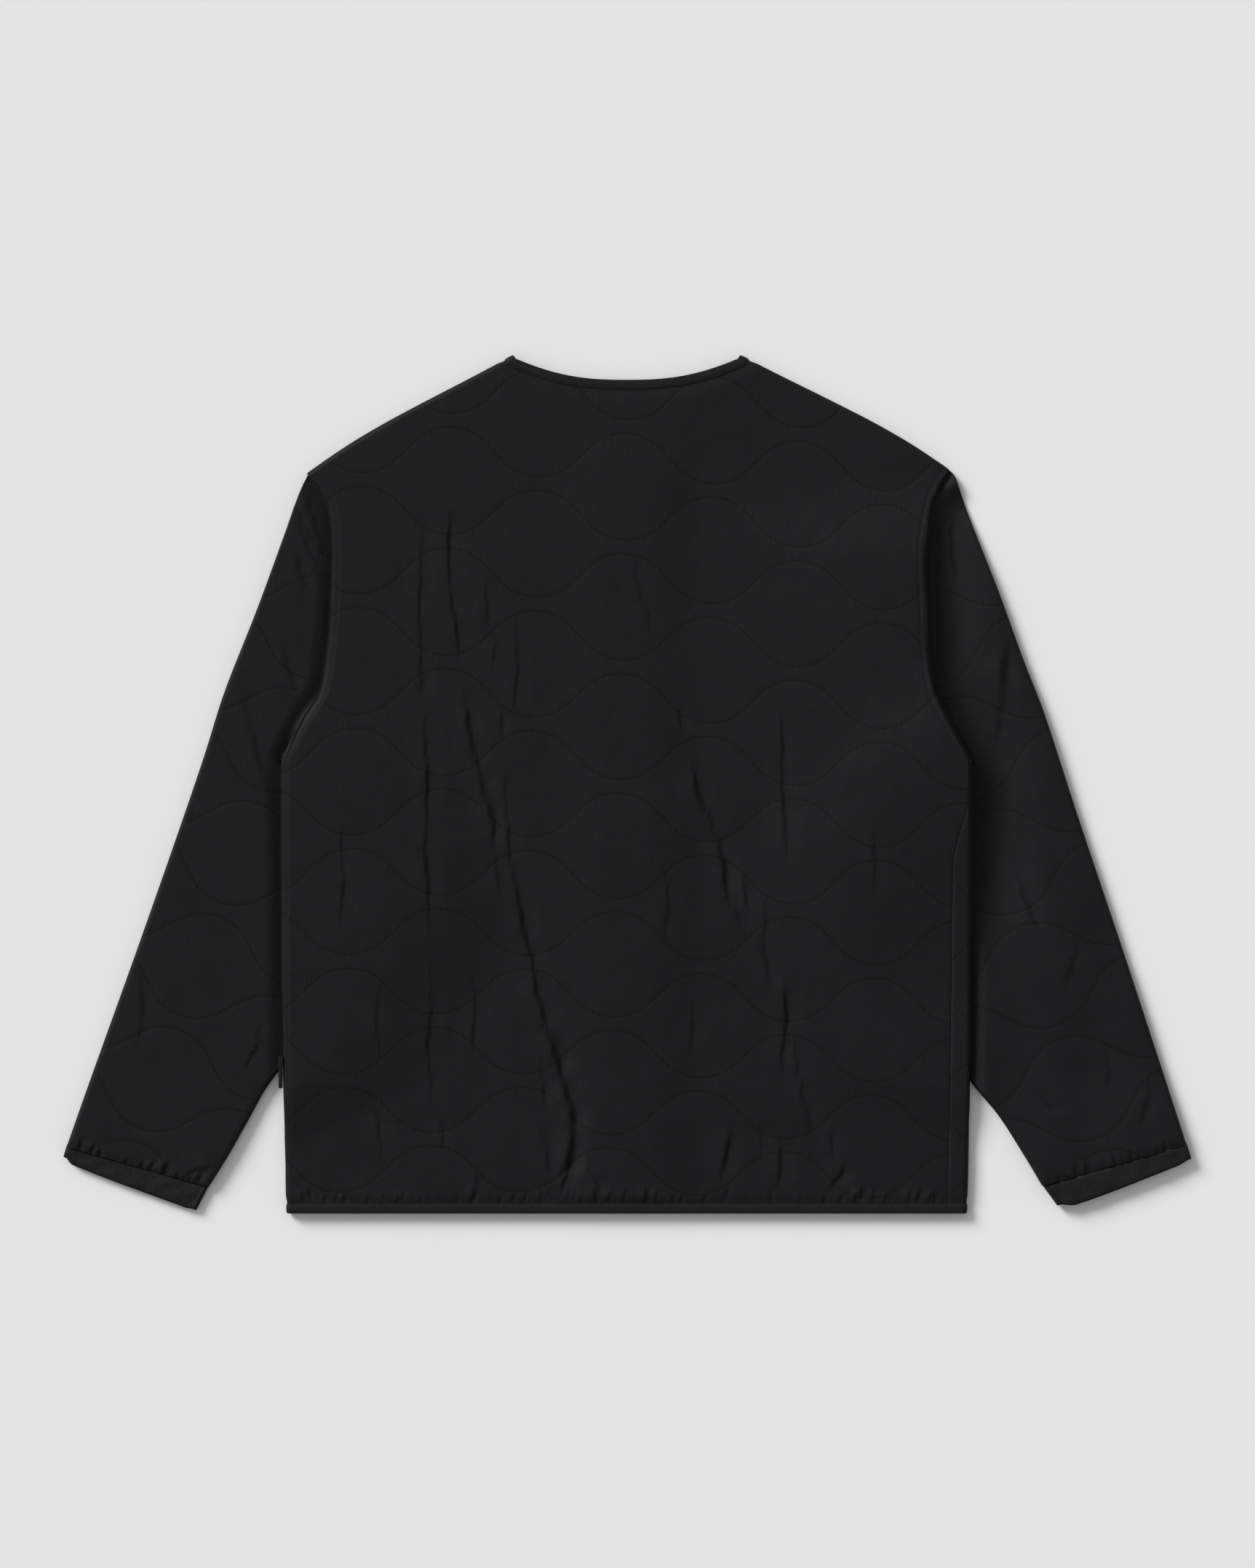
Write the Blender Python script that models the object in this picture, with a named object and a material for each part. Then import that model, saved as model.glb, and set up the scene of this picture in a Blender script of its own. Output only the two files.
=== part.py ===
"""A collarless quilted jacket, laid flat on its front with its back up. Metres, +Z up.

The origin is on the floor under the middle of the jacket. +X is the wearer's right and +Y is
towards the neck. The driving sizes below are in millimetres, and MM turns them into metres.

The body is a flattened tube: the two fronts lie on the floor, the back lies on them, and the
sleeves' inner edges are tucked under the body below the arms.
"""

import math

import bmesh
import bpy
from mathutils import Vector

MM = 0.001

# Cloth: a quilted wall of shell, wadding and backing
WALL = 3.0
SEAM_GAP = 0.3          # between two pieces that are sewn together
PRESSED = 1.0           # the wall where a binding holds it flat

# Body, flattened: half its height at rest, the lift of its sides over the tucked sleeves
BODY_HALF = 4.4
SLEEVE_HALF = 3.8
SLEEVE_LIFT = 2 * SLEEVE_HALF + SEAM_GAP + 0.1
HEM_Y = -352.8
UNDERARM_Y = 20.0
FOLD_X = 284.6          # the side folds at the underarm
HEM_X = 280.6           # the side folds at the hem
WRAP = 17.0             # the right front's share of the top, past the right fold
WRAP_FULL_Y = -70.0     # the wrap is full from here down to the hem
SHOULDER_BULGE = 4.5    # the shoulder fold's rise over a straight line, near its tip
TIP_CLEAR = 1.6         # the folded shoulder tip stays this far inside the armhole seam

# Neck and fronts
NECK_X = 95.0
NECK_Y = 353.4
BACK_NECK_DROP = 21.5
FRONT_NECK_DROP = 118.0
LAP = 15.0              # each front passes the centre line by this much
LAP_SPREAD = 13.0       # the wadding fills out again over this width
OVER_LAP_RISE = 1.1     # the lapping front's underside stands on its snaps' caps
UNDER_LAP_RISE = 4.4    # the lapped front's underside
RIDGE_RISE = 2.2        # the back's rise over the lap
RIDGE_SPREAD = 48.0     # from the lap out to the back's plain level
RIDGE_END = 40.0        # how far below the neck's corners the ridge ends
RIDGE_FADE = 70.0

# Bindings: a folded strip round a pressed edge
TAPE_WALL = 0.6
TAPE_SLACK = 0.5        # between the edge and the strip's fold
TAPE_GAP = 0.4          # between the strip and the wall's faces
TAPE_COVER = 6.6        # how far the strip reaches in from the edge
PRESSED_BAND = 12.0     # the edge stays pressed for this far, then the wadding fills out
FILL_OUT = 12.0

# Snap fasteners, on the centre line
SNAP_COUNT = 5
SNAP_TOP_Y = 206.0
SNAP_PITCH = 118.0
SNAP_RADIUS = 6.0
SNAP_PARTS = (          # from the floor up: the lowest face, the thickness and the radius
    {"name": "snap_cap", "low": 0.0, "thick": 0.8, "radius": SNAP_RADIUS},
    {"name": "snap_middle", "low": 2.45, "thick": 1.6, "radius": 4.8},
    {"name": "snap_rivet", "low": 5.75, "thick": 0.7, "radius": 4.4},
)

# Cuffs
CUFF_HALF = 3.4
CUFF_WALL = 2.2
CUFF_FOLD = 3.0         # the round of a cuff's folded edge

# Side tab, on the left fold
TAB_LENGTH = 27.0
TAB_REACH = 3.4
TAB_Y = -237.0

# How far the two edges of each sleeve and each armhole stand from the centre line, going down.
# Each row is a place on the edge: x and y of the right side, then x and y of the left side.
ARMHOLE = (
    {"right": (267.0, 259.5), "left": (-265.2, 256.0)},
    {"right": (254.4, 237.5), "left": (-251.5, 240.0)},
    {"right": (246.4, 201.0), "left": (-243.2, 203.0)},
    {"right": (245.6, 157.0), "left": (-243.4, 157.0)},
    {"right": (248.4, 106.0), "left": (-246.6, 110.7)},
    {"right": (257.5, 64.5), "left": (-257.5, 65.0)},
    {"right": (284.6, 20.0), "left": (-284.6, 20.0)},
)
SLEEVE_OUTER = (
    {"right": (267.0, 259.5), "left": (-265.2, 256.0)},
    {"right": (284.4, 220.5), "left": (-284.4, 205.5)},
    {"right": (328.2, 101.0), "left": (-320.0, 102.5)},
    {"right": (372.0, -26.0), "left": (-368.0, -34.0)},
    {"right": (427.8, -196.5), "left": (-419.5, -180.0)},
    {"right": (461.0, -296.8), "left": (-461.4, -298.6)},
)
SLEEVE_INNER = (
    {"right": (284.6, 20.0), "left": (-284.6, 20.0)},
    {"right": (250.0, -4.0), "left": (-250.0, -4.0)},
    {"right": (207.0, -50.0), "left": (-207.0, -50.0)},
    {"right": (202.0, -100.0), "left": (-202.0, -100.0)},
    {"right": (224.0, -150.0), "left": (-224.0, -150.0)},
    {"right": (284.0, -246.0), "left": (-292.0, -246.0)},
    {"right": (328.2, -307.8), "left": (-327.6, -306.0)},
    {"right": (342.4, -332.0), "left": (-344.6, -333.0)},
)
CUFF_EDGE = (           # the cuff's open edge, from the sleeve's outer fold to its inner fold
    {"right": (465.3, -308.6), "left": (-464.4, -307.6)},
    {"right": (455.2, -315.2), "left": (-459.5, -313.0)},
    {"right": (367.0, -347.2), "left": (-361.8, -349.5)},
    {"right": (354.5, -347.2), "left": (-354.6, -351.0)},
)
# The body is fully lifted outside x and flat on the floor a ramp's width inside it
LIFT_EDGE = (
    {"y": 130.0, "x": 372.0},
    {"y": 90.0, "x": 320.0},
    {"y": 47.0, "x": 266.0},
    {"y": 20.0, "x": 236.0},
    {"y": -4.0, "x": 214.0},
    {"y": -50.0, "x": 178.0},
    {"y": -100.0, "x": 176.0},
    {"y": -150.0, "x": 196.0},
    {"y": -246.0, "x": 256.0},
    {"y": -353.0, "x": 330.0},
)
LIFT_RAMP = 80.0

# Grid of the body: steps across and along, and steps round a folded edge
SIDE_STEPS = 8          # between the armhole and the neck's corner
NECK_STEPS = 10         # across the back neck
FRONT_NECK_STEPS = 8    # along the lower half of a front's neck edge
SKIRT_STEPS = 9         # from the hem's pressed band up to the underarm
ARMHOLE_STEPS = 10
NOTCH_ROW = 6           # of the armhole's rows, the one that meets the middle of the front neck
FOLD_STEPS = 3          # in a quarter turn
OUTER_STEPS = 12        # along a sleeve's outer edge
INNER_STEPS = 18        # along its tucked inner edge
SIDES = {"left": -1, "right": 1}

BLACK = {
    "quilted_nylon": (0.0137, 0.0137, 0.0160, 1.0),
    "binding_tape": (0.0105, 0.0105, 0.0120, 1.0),
    "cuff_tape": (0.0115, 0.0115, 0.0130, 1.0),
    "snap_metal": (0.05, 0.05, 0.055, 1.0),
    "tab_tape": (0.010, 0.010, 0.011, 1.0),
}


# ---------------------------------------------------------------- curves and blends

def smooth(share):
    """0 to 1 with level ends."""
    share = min(max(share, 0.0), 1.0)
    return share * share * (3 - 2 * share)


def mix(a, b, share):
    return a + (b - a) * share


def on_curve(points, share):
    """The place at a share of the way along a smooth curve through the points."""
    points = [Vector(p) for p in points]
    lengths = [(b - a).length for a, b in zip(points, points[1:])]
    left = share * sum(lengths)
    k = 0
    while k < len(lengths) - 1 and left > lengths[k]:
        left -= lengths[k]
        k += 1
    t = left / lengths[k]
    a, b = points[k], points[k + 1]
    before = points[k - 1] if k else a * 2 - b
    after = points[k + 2] if k + 2 < len(points) else b * 2 - a
    pull_a = (b - before) * (lengths[k] / ((b - a).length + (a - before).length))
    pull_b = (after - a) * (lengths[k] / ((after - b).length + (b - a).length))
    return (
        a * (2 * t**3 - 3 * t**2 + 1) + pull_a * (t**3 - 2 * t**2 + t)
        + b * (3 * t**2 - 2 * t**3) + pull_b * (t**3 - t**2)
    )


def column(table, side):
    return [row[side] for row in table]


def lift_edge(y):
    """x outside which the body lies fully on the tucked sleeve, at this y."""
    for upper, lower in zip(LIFT_EDGE, LIFT_EDGE[1:]):
        if y >= lower["y"]:
            share = (upper["y"] - y) / (upper["y"] - lower["y"])
            return mix(upper["x"], lower["x"], max(share, 0.0))
    return LIFT_EDGE[-1]["x"]


def underside(x, y):
    """Height of the body's underside above the floor."""
    return SLEEVE_LIFT * smooth((abs(x) - lift_edge(y) + LIFT_RAMP) / LIFT_RAMP)


def side_fold(y):
    """x of the right side fold."""
    share = (UNDERARM_Y - y) / (UNDERARM_Y - HEM_Y)
    return mix(FOLD_X, HEM_X, share**2)


# ---------------------------------------------------------------- the body's outline

def armhole(side, share):
    """The armhole seam from the underarm, 0, to the shoulder, 1."""
    return on_curve(column(ARMHOLE, side)[::-1], share)


def shoulder(side, share):
    """The shoulder fold from its tip, 0, to the neck's corner, 1."""
    tip = Vector(ARMHOLE[0][side])
    corner = Vector((SIDES[side] * NECK_X, NECK_Y))
    bulge = SHOULDER_BULGE * 6.75 * share * (1 - share) ** 2
    return tip.lerp(corner, share) + Vector((0, bulge))


def back_neck(share):
    """The back neck's edge from left, 0, to right, 1."""
    flat = abs(2 * share - 1) ** 2.6
    return Vector((mix(-NECK_X, NECK_X, share), NECK_Y - BACK_NECK_DROP * (1 - flat)))


def front_neck(side, share):
    """The front neck's edge from the corner, 0, down to the lap's edge, 1."""
    angle = share * math.pi / 2
    x = NECK_X - (NECK_X + lap_reach()) * (1 - math.cos(angle))
    return Vector((SIDES[side] * x, NECK_Y - FRONT_NECK_DROP * math.sin(angle)))


def lap_reach():
    """How far a front passes the centre line, less the binding's wall and gap."""
    return LAP - TAPE_WALL - TAPE_SLACK


def patch(bottom, top, start, end, corners, u, v):
    """A point of the surface stretched between four edges.

    bottom and top are the edges' points in this column, start and end those in this row, and
    corners are the bottom's two ends and then the top's. u goes across and v goes up.
    """
    low = corners[0].lerp(corners[1], u)
    high = corners[2].lerp(corners[3], u)
    return bottom.lerp(top, v) + start.lerp(end, u) - low.lerp(high, v)


def spread(a, b, steps):
    return [mix(a, b, k / steps) for k in range(steps + 1)]


# Rows of every body panel: the hem's pressed band, the skirt, then the armhole's shares
HEM_ROWS = [HEM_Y, HEM_Y + PRESSED_BAND, HEM_Y + PRESSED_BAND + FILL_OUT]
SKIRT_ROWS = HEM_ROWS + spread(HEM_ROWS[-1], UNDERARM_Y, SKIRT_STEPS)[1:]
# The armhole's rows are closest at the underarm, and the last lies in the neck's pressed band
ARM_SHARES = [0.96 * share**1.3 for share in spread(0.0, 1.0, ARMHOLE_STEPS - 1)] + [1.0]
LOWER_SHARES = spread(0.0, 0.95, NOTCH_ROW - 1) + [1.0]
TURNS = [k / FOLD_STEPS * math.pi / 2 for k in range(1, FOLD_STEPS + 1)]
STRAIGHT_ROWS = len(SKIRT_ROWS) - 1
FLAT_ROWS = STRAIGHT_ROWS + ARMHOLE_STEPS   # above them are the shoulder folds' rows
ALL_ROWS = FLAT_ROWS + FOLD_STEPS
BACK_FOLD = FOLD_STEPS                      # the left fold's columns come first
BACK_ACROSS = 2 * SIDE_STEPS + NECK_STEPS
FRONT_ACROSS = SIDE_STEPS + FRONT_NECK_STEPS


def edge_distance(centre, edge):
    """How far a point is from a neck edge."""
    steps = [edge(k / 24) for k in range(25)]
    return min((centre - step).length for step in steps)


def pressed_wall(from_edge):
    """The wall's thickness this far from a bound edge."""
    return mix(PRESSED, WALL, smooth((from_edge - PRESSED_BAND) / FILL_OUT))


# ---------------------------------------------------------------- meshes

def new_object(name, mesh_builder, finish, smooth_angle=40):
    mesh = bpy.data.meshes.new(name)
    mesh_builder.to_mesh(mesh)
    mesh_builder.free()
    mesh.shade_smooth()
    mesh.set_sharp_from_angle(angle=math.radians(smooth_angle))
    mesh.materials.append(material(finish))
    made = bpy.data.objects.new(name, mesh)
    bpy.context.scene.collection.objects.link(made)
    return made


def material(finish):
    """A plain finish in the cloth's colour."""
    found = bpy.data.materials.get(finish)
    if found:
        return found
    made = bpy.data.materials.new(finish)
    made.use_nodes = True
    shader = made.node_tree.nodes["Principled BSDF"]
    metal = finish == "snap_metal"
    shader.inputs["Base Color"].default_value = BLACK[finish]
    shader.inputs["Roughness"].default_value = 0.35 if metal else 0.75
    shader.inputs["Metallic"].default_value = 1.0 if metal else 0.0
    return made


def cloth_wall(name, columns, rows, kept, place, finish="quilted_nylon"):
    """A closed wall on a lattice of columns and rows.

    kept(i, j) says whether the lattice has the cell up and right of i, j. place(i, j, side)
    gives each point in millimetres, with side 0 on the lining's face and 1 on the outer face.
    """
    builder = bmesh.new()
    bmesh.ops.create_grid(builder, x_segments=columns, y_segments=rows, size=0.5)
    for vertex in builder.verts:
        i = round((vertex.co.x + 0.5) * columns)
        j = round((vertex.co.y + 0.5) * rows)
        vertex.co = (i, j, 0)
    unused = []
    for face in builder.faces:
        corner = [min(round(v.co[axis]) for v in face.verts) for axis in (0, 1)]
        if not kept(*corner):
            unused.append(face)
    bmesh.ops.delete(builder, geom=unused, context="FACES")
    lattice = builder.faces[:]
    raised = bmesh.ops.extrude_face_region(builder, geom=lattice, use_keep_orig=True)
    for vertex in raised["geom"]:
        if isinstance(vertex, bmesh.types.BMVert):
            vertex.co.z = 1
    for vertex in builder.verts:
        i, j, side = (round(part) for part in vertex.co)
        vertex.co = place(i, j, side) * MM
    bmesh.ops.recalc_face_normals(builder, faces=builder.faces)
    return new_object(name, builder, finish)


def body_point(centre, turn, outward, upward, wall, side):
    """A point of the flattened body's wall.

    turn goes round a folded edge: 0 is flat, and a quarter turn faces outward. upward is 1 on
    the back and -1 on the fronts.
    """
    x, y = centre
    spare = (WALL - wall) / 2
    radius = BODY_HALF - spare if side else BODY_HALF - WALL + spare
    level = underside(x, y) + BODY_HALF
    flat = Vector((outward[0], outward[1], 0)) * math.sin(turn)
    return Vector((x, y, level)) + (flat + Vector((0, 0, upward * math.cos(turn)))) * radius


# ---------------------------------------------------------------- back

def crowded(share):
    """0 to 1 with its steps closer towards 1."""
    return 1 - (1 - share) ** 1.5


def back_outline(i, k):
    """The back above the underarms: column i from the left armhole, and row k going up."""
    u, v = i / BACK_ACROSS, ARM_SHARES[k]

    def top(i):
        if i < SIDE_STEPS:
            return shoulder("left", crowded(i / SIDE_STEPS)) + shoulder_inset("left")
        from_right = BACK_ACROSS - i
        if from_right < SIDE_STEPS:
            return shoulder("right", crowded(from_right / SIDE_STEPS)) + shoulder_inset("right")
        share = (i - SIDE_STEPS) / NECK_STEPS
        inset = shoulder_inset("left").lerp(shoulder_inset("right"), share)
        return back_neck(share) + inset * abs(2 * share - 1) ** 4

    left, right = armhole_edge("left", 0), armhole_edge("right", 0)
    corners = (left, right, top(0), top(BACK_ACROSS))
    sides = (armhole_edge("left", v), armhole_edge("right", v))
    return patch(left.lerp(right, u), top(i), *sides, corners, u, v)


def shoulder_normal(side):
    """The direction in the floor's plane that the shoulder fold faces."""
    run = shoulder(side, 1) - shoulder(side, 0)
    return Vector((SIDES[side] * abs(run.y), abs(run.x))).normalized()


def shoulder_inset(side):
    """From the shoulder fold's edge in to the middle of its round."""
    return -shoulder_normal(side) * BODY_HALF


def armhole_edge(side, share):
    """The body's edge at the armhole: the seam, drawn in by half the seam's gap."""
    inward = Vector((-SIDES[side] * (SEAM_GAP / 2 + TIP_CLEAR * share**8), 0))
    bottom = Vector((-SIDES[side] * BODY_HALF, 0)) * (1 - share) ** 6
    return armhole(side, share) + inward + bottom + shoulder_inset(side) * share**8


def ridge(x, y):
    """The back's rise over the lapped fronts and their snaps, level with the back at the neck."""
    across = 1 - smooth((abs(x) - LAP - 2) / RIDGE_SPREAD)
    return RIDGE_RISE * across * smooth((NECK_Y - RIDGE_END - y) / RIDGE_FADE)


def back_point(i, j, side):
    """A point of the back on its lattice, on the lining's face, 0, or the outer face, 1."""
    fold = max(BACK_FOLD - i, 0)
    u = max(i - BACK_FOLD, 0) / BACK_ACROSS
    wall, turn, outward = WALL, 0.0, (0, 0)
    if j <= STRAIGHT_ROWS:
        y = SKIRT_ROWS[j]
        left = -side_fold(y) + BODY_HALF
        centre = Vector((mix(left, right_seam(y) - SEAM_GAP / 2, u), y))
        wall = pressed_wall(y - HEM_Y)
        if fold:
            turn, outward = TURNS[fold - 1], (-1, 0)
    else:
        centre = back_outline(i - BACK_FOLD, min(j - STRAIGHT_ROWS, ARMHOLE_STEPS))
        wall = pressed_wall(edge_distance(centre, back_neck))
        if j > FLAT_ROWS:
            turn = TURNS[j - FLAT_ROWS - 1]
            outward = shoulder_normal("left" if u < 0.5 else "right")
    point = body_point(centre, turn, outward, 1, wall, side)
    point.z += ridge(*centre)
    if fold == FOLD_STEPS or j == ALL_ROWS:
        point.z += SEAM_GAP / 2
    return point


def make_back():
    def kept(i, j):
        u = i - BACK_FOLD
        over_neck = SIDE_STEPS <= u < SIDE_STEPS + NECK_STEPS
        if u < 0:
            return j < STRAIGHT_ROWS
        return j < FLAT_ROWS or not over_neck

    return cloth_wall("back", BACK_FOLD + BACK_ACROSS, ALL_ROWS, kept, back_point)


def right_seam(y):
    """x of the right side seam, which lies on top of the body."""
    inward = BODY_HALF + (WRAP - BODY_HALF) * smooth((UNDERARM_Y - y) / (UNDERARM_Y - WRAP_FULL_Y))
    return side_fold(y) - inward


# ---------------------------------------------------------------- fronts

def front_outline(side, i, k):
    """A front above the underarm: column i from the armhole, and row k going up.

    The neck is a rounded notch in the lattice. Its lower half is the upper edge of the rows
    up to NOTCH_ROW, and its upper half is the inner edge of the rows above them.
    """
    middle = neck_edge(side, 0.5)
    notch_start = armhole_edge(side, ARM_SHARES[NOTCH_ROW])
    armhole_side = armhole_edge(side, ARM_SHARES[k])

    def across_notch(i):
        if i <= SIDE_STEPS:
            return notch_start.lerp(middle, crowded(i / SIDE_STEPS))
        return neck_edge(side, 0.5 + 0.5 * (i - SIDE_STEPS) / FRONT_NECK_STEPS)

    if k <= NOTCH_ROW:
        u, v = i / FRONT_ACROSS, LOWER_SHARES[k]
        start = armhole_edge(side, 0)
        end = Vector((-SIDES[side] * lap_reach(), UNDERARM_Y))
        lap = end.lerp(neck_edge(side, 1), v)
        corners = (start, end, notch_start, neck_edge(side, 1))
        return patch(start.lerp(end, u), across_notch(i), armhole_side, lap, corners, u, v)

    u, v = crowded(i / SIDE_STEPS), (k - NOTCH_ROW) / (ARMHOLE_STEPS - NOTCH_ROW)
    inset = shoulder_inset(side)
    top = shoulder(side, u) + inset
    corners = (notch_start, middle, shoulder(side, 0) + inset, neck_edge(side, 0))
    neck = neck_edge(side, 0.5 * (1 - v))
    return patch(across_notch(i), top, armhole_side, neck, corners, u, v)


def neck_edge(side, share):
    """The front neck's edge, with its corner drawn in to the middle of the shoulder's round."""
    return front_neck(side, share) + shoulder_inset(side) * (1 - share) ** 6


def lap_rise(side, x):
    """The height of a front's underside where the two lap. x is towards the front's own side."""
    if side == "left":
        return OVER_LAP_RISE * (1 - smooth((x - LAP) / LAP_SPREAD))
    return UNDER_LAP_RISE * (1 - smooth((x - LAP - 3) / (3.6 * LAP_SPREAD)))


def front_fold(side):
    """How many columns a front has round its side fold: the right one wraps on to the top."""
    return 2 * FOLD_STEPS + 1 if side == "right" else FOLD_STEPS


def front_point(side, i, j, face):
    """A point of a front on its lattice, on the lining's face, 0, or the outer face, 1."""
    sign = SIDES[side]
    fold = max(front_fold(side) - i, 0)
    u = max(i - front_fold(side), 0) / FRONT_ACROSS
    wall, turn, outward = WALL, 0.0, (0, 0)
    if j <= STRAIGHT_ROWS:
        y = SKIRT_ROWS[j]
        fold_centre = side_fold(y) - BODY_HALF
        centre = Vector((sign * mix(fold_centre, -lap_reach(), u), y))
        wall = pressed_wall(y - HEM_Y)
        if fold:
            turn, outward = min(fold / FOLD_STEPS, 2) * math.pi / 2, (sign, 0)
        if fold > 2 * FOLD_STEPS:
            centre.x = sign * min(right_seam(y) + SEAM_GAP / 2, fold_centre + 0.2)
    else:
        centre = front_outline(side, i - front_fold(side), min(j - STRAIGHT_ROWS, ARMHOLE_STEPS))
        wall = pressed_wall(edge_distance(centre, lambda share: front_neck(side, share)))
        if j > FLAT_ROWS:
            turn = TURNS[j - FLAT_ROWS - 1]
            outward = shoulder_normal(side)
    inner_x = centre.x * sign
    lapped = 1 - smooth((inner_x - LAP) / LAP_SPREAD)
    wall = min(wall, mix(WALL, PRESSED, lapped))
    point = body_point(centre, turn, outward, -1, wall, face)
    if not fold and j <= FLAT_ROWS:
        point.z += lap_rise(side, inner_x) - (WALL - wall) / 2 * lapped
    if (fold == FOLD_STEPS and side == "left") or j == ALL_ROWS:
        point.z -= SEAM_GAP / 2
    return point


def make_front(side):
    def kept(i, j):
        if i < front_fold(side):
            return j < STRAIGHT_ROWS
        return j < STRAIGHT_ROWS + NOTCH_ROW or i - front_fold(side) < SIDE_STEPS

    def place(i, j, face):
        return front_point(side, i, j, face)

    return cloth_wall(f"front_{side}", front_fold(side) + FRONT_ACROSS, ALL_ROWS, kept, place)


# ---------------------------------------------------------------- sleeves and cuffs

def moved_in(points, distance):
    """An open line moved to its left by a distance."""
    moved = []
    for k, point in enumerate(points):
        before, after = points[max(k - 1, 0)], points[min(k + 1, len(points) - 1)]
        run = (after - before).normalized()
        moved.append(point + Vector((-run.y, run.x)) * distance)
    return moved


def run_on(points, distance):
    """An open line made longer at both its ends."""
    start = points[0] + (points[0] - points[1]).normalized() * distance
    end = points[-1] + (points[-1] - points[-2]).normalized() * distance
    return [start] + points[1:-1] + [end]


def slab(outline, low, high):
    """A mesh builder of an outline raised between two heights, and its lower and upper rings."""
    builder = bmesh.new()
    lower = [builder.verts.new((p.x * MM, p.y * MM, low * MM)) for p in outline]
    base = builder.faces.new(lower)
    bmesh.ops.extrude_face_region(builder, geom=[base], use_keep_orig=True)
    upper = []
    for corner in lower:
        joined = [edge.other_vert(corner) for edge in corner.link_edges]
        upper.append(next(made for made in joined if made not in lower))
    bmesh.ops.translate(builder, verts=upper, vec=(0, 0, (high - low) * MM))
    bmesh.ops.recalc_face_normals(builder, faces=builder.faces)
    return builder, lower, upper


def flat_tube(name, mouth, fold_out, end, fold_in, half, wall, round_edge, finish):
    """A flattened tube of cloth: a slab with round folds, hollowed from its mouth to its end.

    mouth and end are its open edges, and fold_out and fold_in are its folds. The four lines
    go round it clockwise seen from above on the right, and the other way on the left.
    """
    outline = mouth[:-1] + fold_out[:-1] + end[:-1] + fold_in[:-1]
    builder, lower, upper = slab(outline, 0, 2 * half)
    first_fold = len(mouth) - 1
    second_fold = len(outline) - len(fold_in) + 1
    folded = list(range(first_fold, first_fold + len(fold_out) - 1))
    folded += range(second_fold, len(outline))
    rims = [
        builder.edges.get((ring[k], ring[(k + 1) % len(ring)]))
        for ring in (lower, upper) for k in folded
    ]
    bmesh.ops.bevel(
        builder, geom=rims, offset=round_edge * MM, offset_type="OFFSET", segments=2,
        profile=0.5, affect="EDGES", material=-1, clamp_overlap=True,
    )
    tube = new_object(name, builder, finish)

    turn = 1 if fold_out[0].x < 0 else -1
    hollow_out = run_on(moved_in(fold_out, wall * turn), 6)
    hollow_in = run_on(moved_in(fold_in, wall * turn), 6)
    hollow_in[-1] = moved_in(fold_in, wall * turn)[-1]
    inward = Vector((turn * 6, 0))
    mouth_line = [point + inward for point in mouth[1:-1]]
    cutter, _, _ = slab(mouth_line + hollow_out + hollow_in, wall, 2 * half - wall)
    hollow = new_object(f"{name}_hollow", cutter, finish)
    hollow.hide_render = True
    hollow.display_type = "WIRE"
    cut = tube.modifiers.new("hollow", "BOOLEAN")
    cut.operation = "DIFFERENCE"
    cut.object = hollow
    return tube


def sleeve_lines(side):
    """The sleeve's mouth, outer fold, end and inner fold."""
    gap = Vector((SIDES[side] * SEAM_GAP / 2, 0))
    mouth = [armhole(side, share) + gap for share in ARM_SHARES]
    outer = [on_curve(column(SLEEVE_OUTER, side), s) for s in spread(0, 1, OUTER_STEPS)]
    inner = [on_curve(column(SLEEVE_INNER, side)[::-1], s) for s in spread(0, 1, INNER_STEPS)]
    outer[0] = mouth[-1]
    inner[-1] = mouth[0]
    return mouth, outer, [outer[-1], inner[0]], inner


def make_sleeve(side):
    mouth, outer, end, inner = sleeve_lines(side)
    return flat_tube(
        f"sleeve_{side}", mouth, outer, end, inner, SLEEVE_HALF, WALL, 3.2, "quilted_nylon"
    )


def make_cuff(side):
    _, outer, _, inner = sleeve_lines(side)
    rim = [Vector(point) for point in column(CUFF_EDGE, side)]
    down = Vector((0, -SEAM_GAP * 1.1))
    mouth = [inner[0] + down, outer[-1] + down]
    return flat_tube(
        f"cuff_{side}", mouth, [mouth[1], rim[0]], rim, [rim[-1], mouth[0]],
        CUFF_HALF, CUFF_WALL, CUFF_FOLD, "cuff_tape",
    )


# ---------------------------------------------------------------- bindings

def edge_frame(place, i, j, step_in, along_fold=False):
    """The middle of a wall's edge, the way its outer face looks, and the way into the wall.

    place(i, j, side) is the wall's lattice, and step_in is the step to a point inside it.
    along_fold says that the strip lies straight along the fold that ends here.
    """
    def middle(i, j):
        return (place(i, j, 1) + place(i, j, 0)) / 2

    facing = (place(i, j, 1) - place(i, j, 0)).normalized()
    inward = middle(i + step_in[0], j + step_in[1]) - middle(i, j)
    return middle(i, j), facing, inward, along_fold


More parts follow.
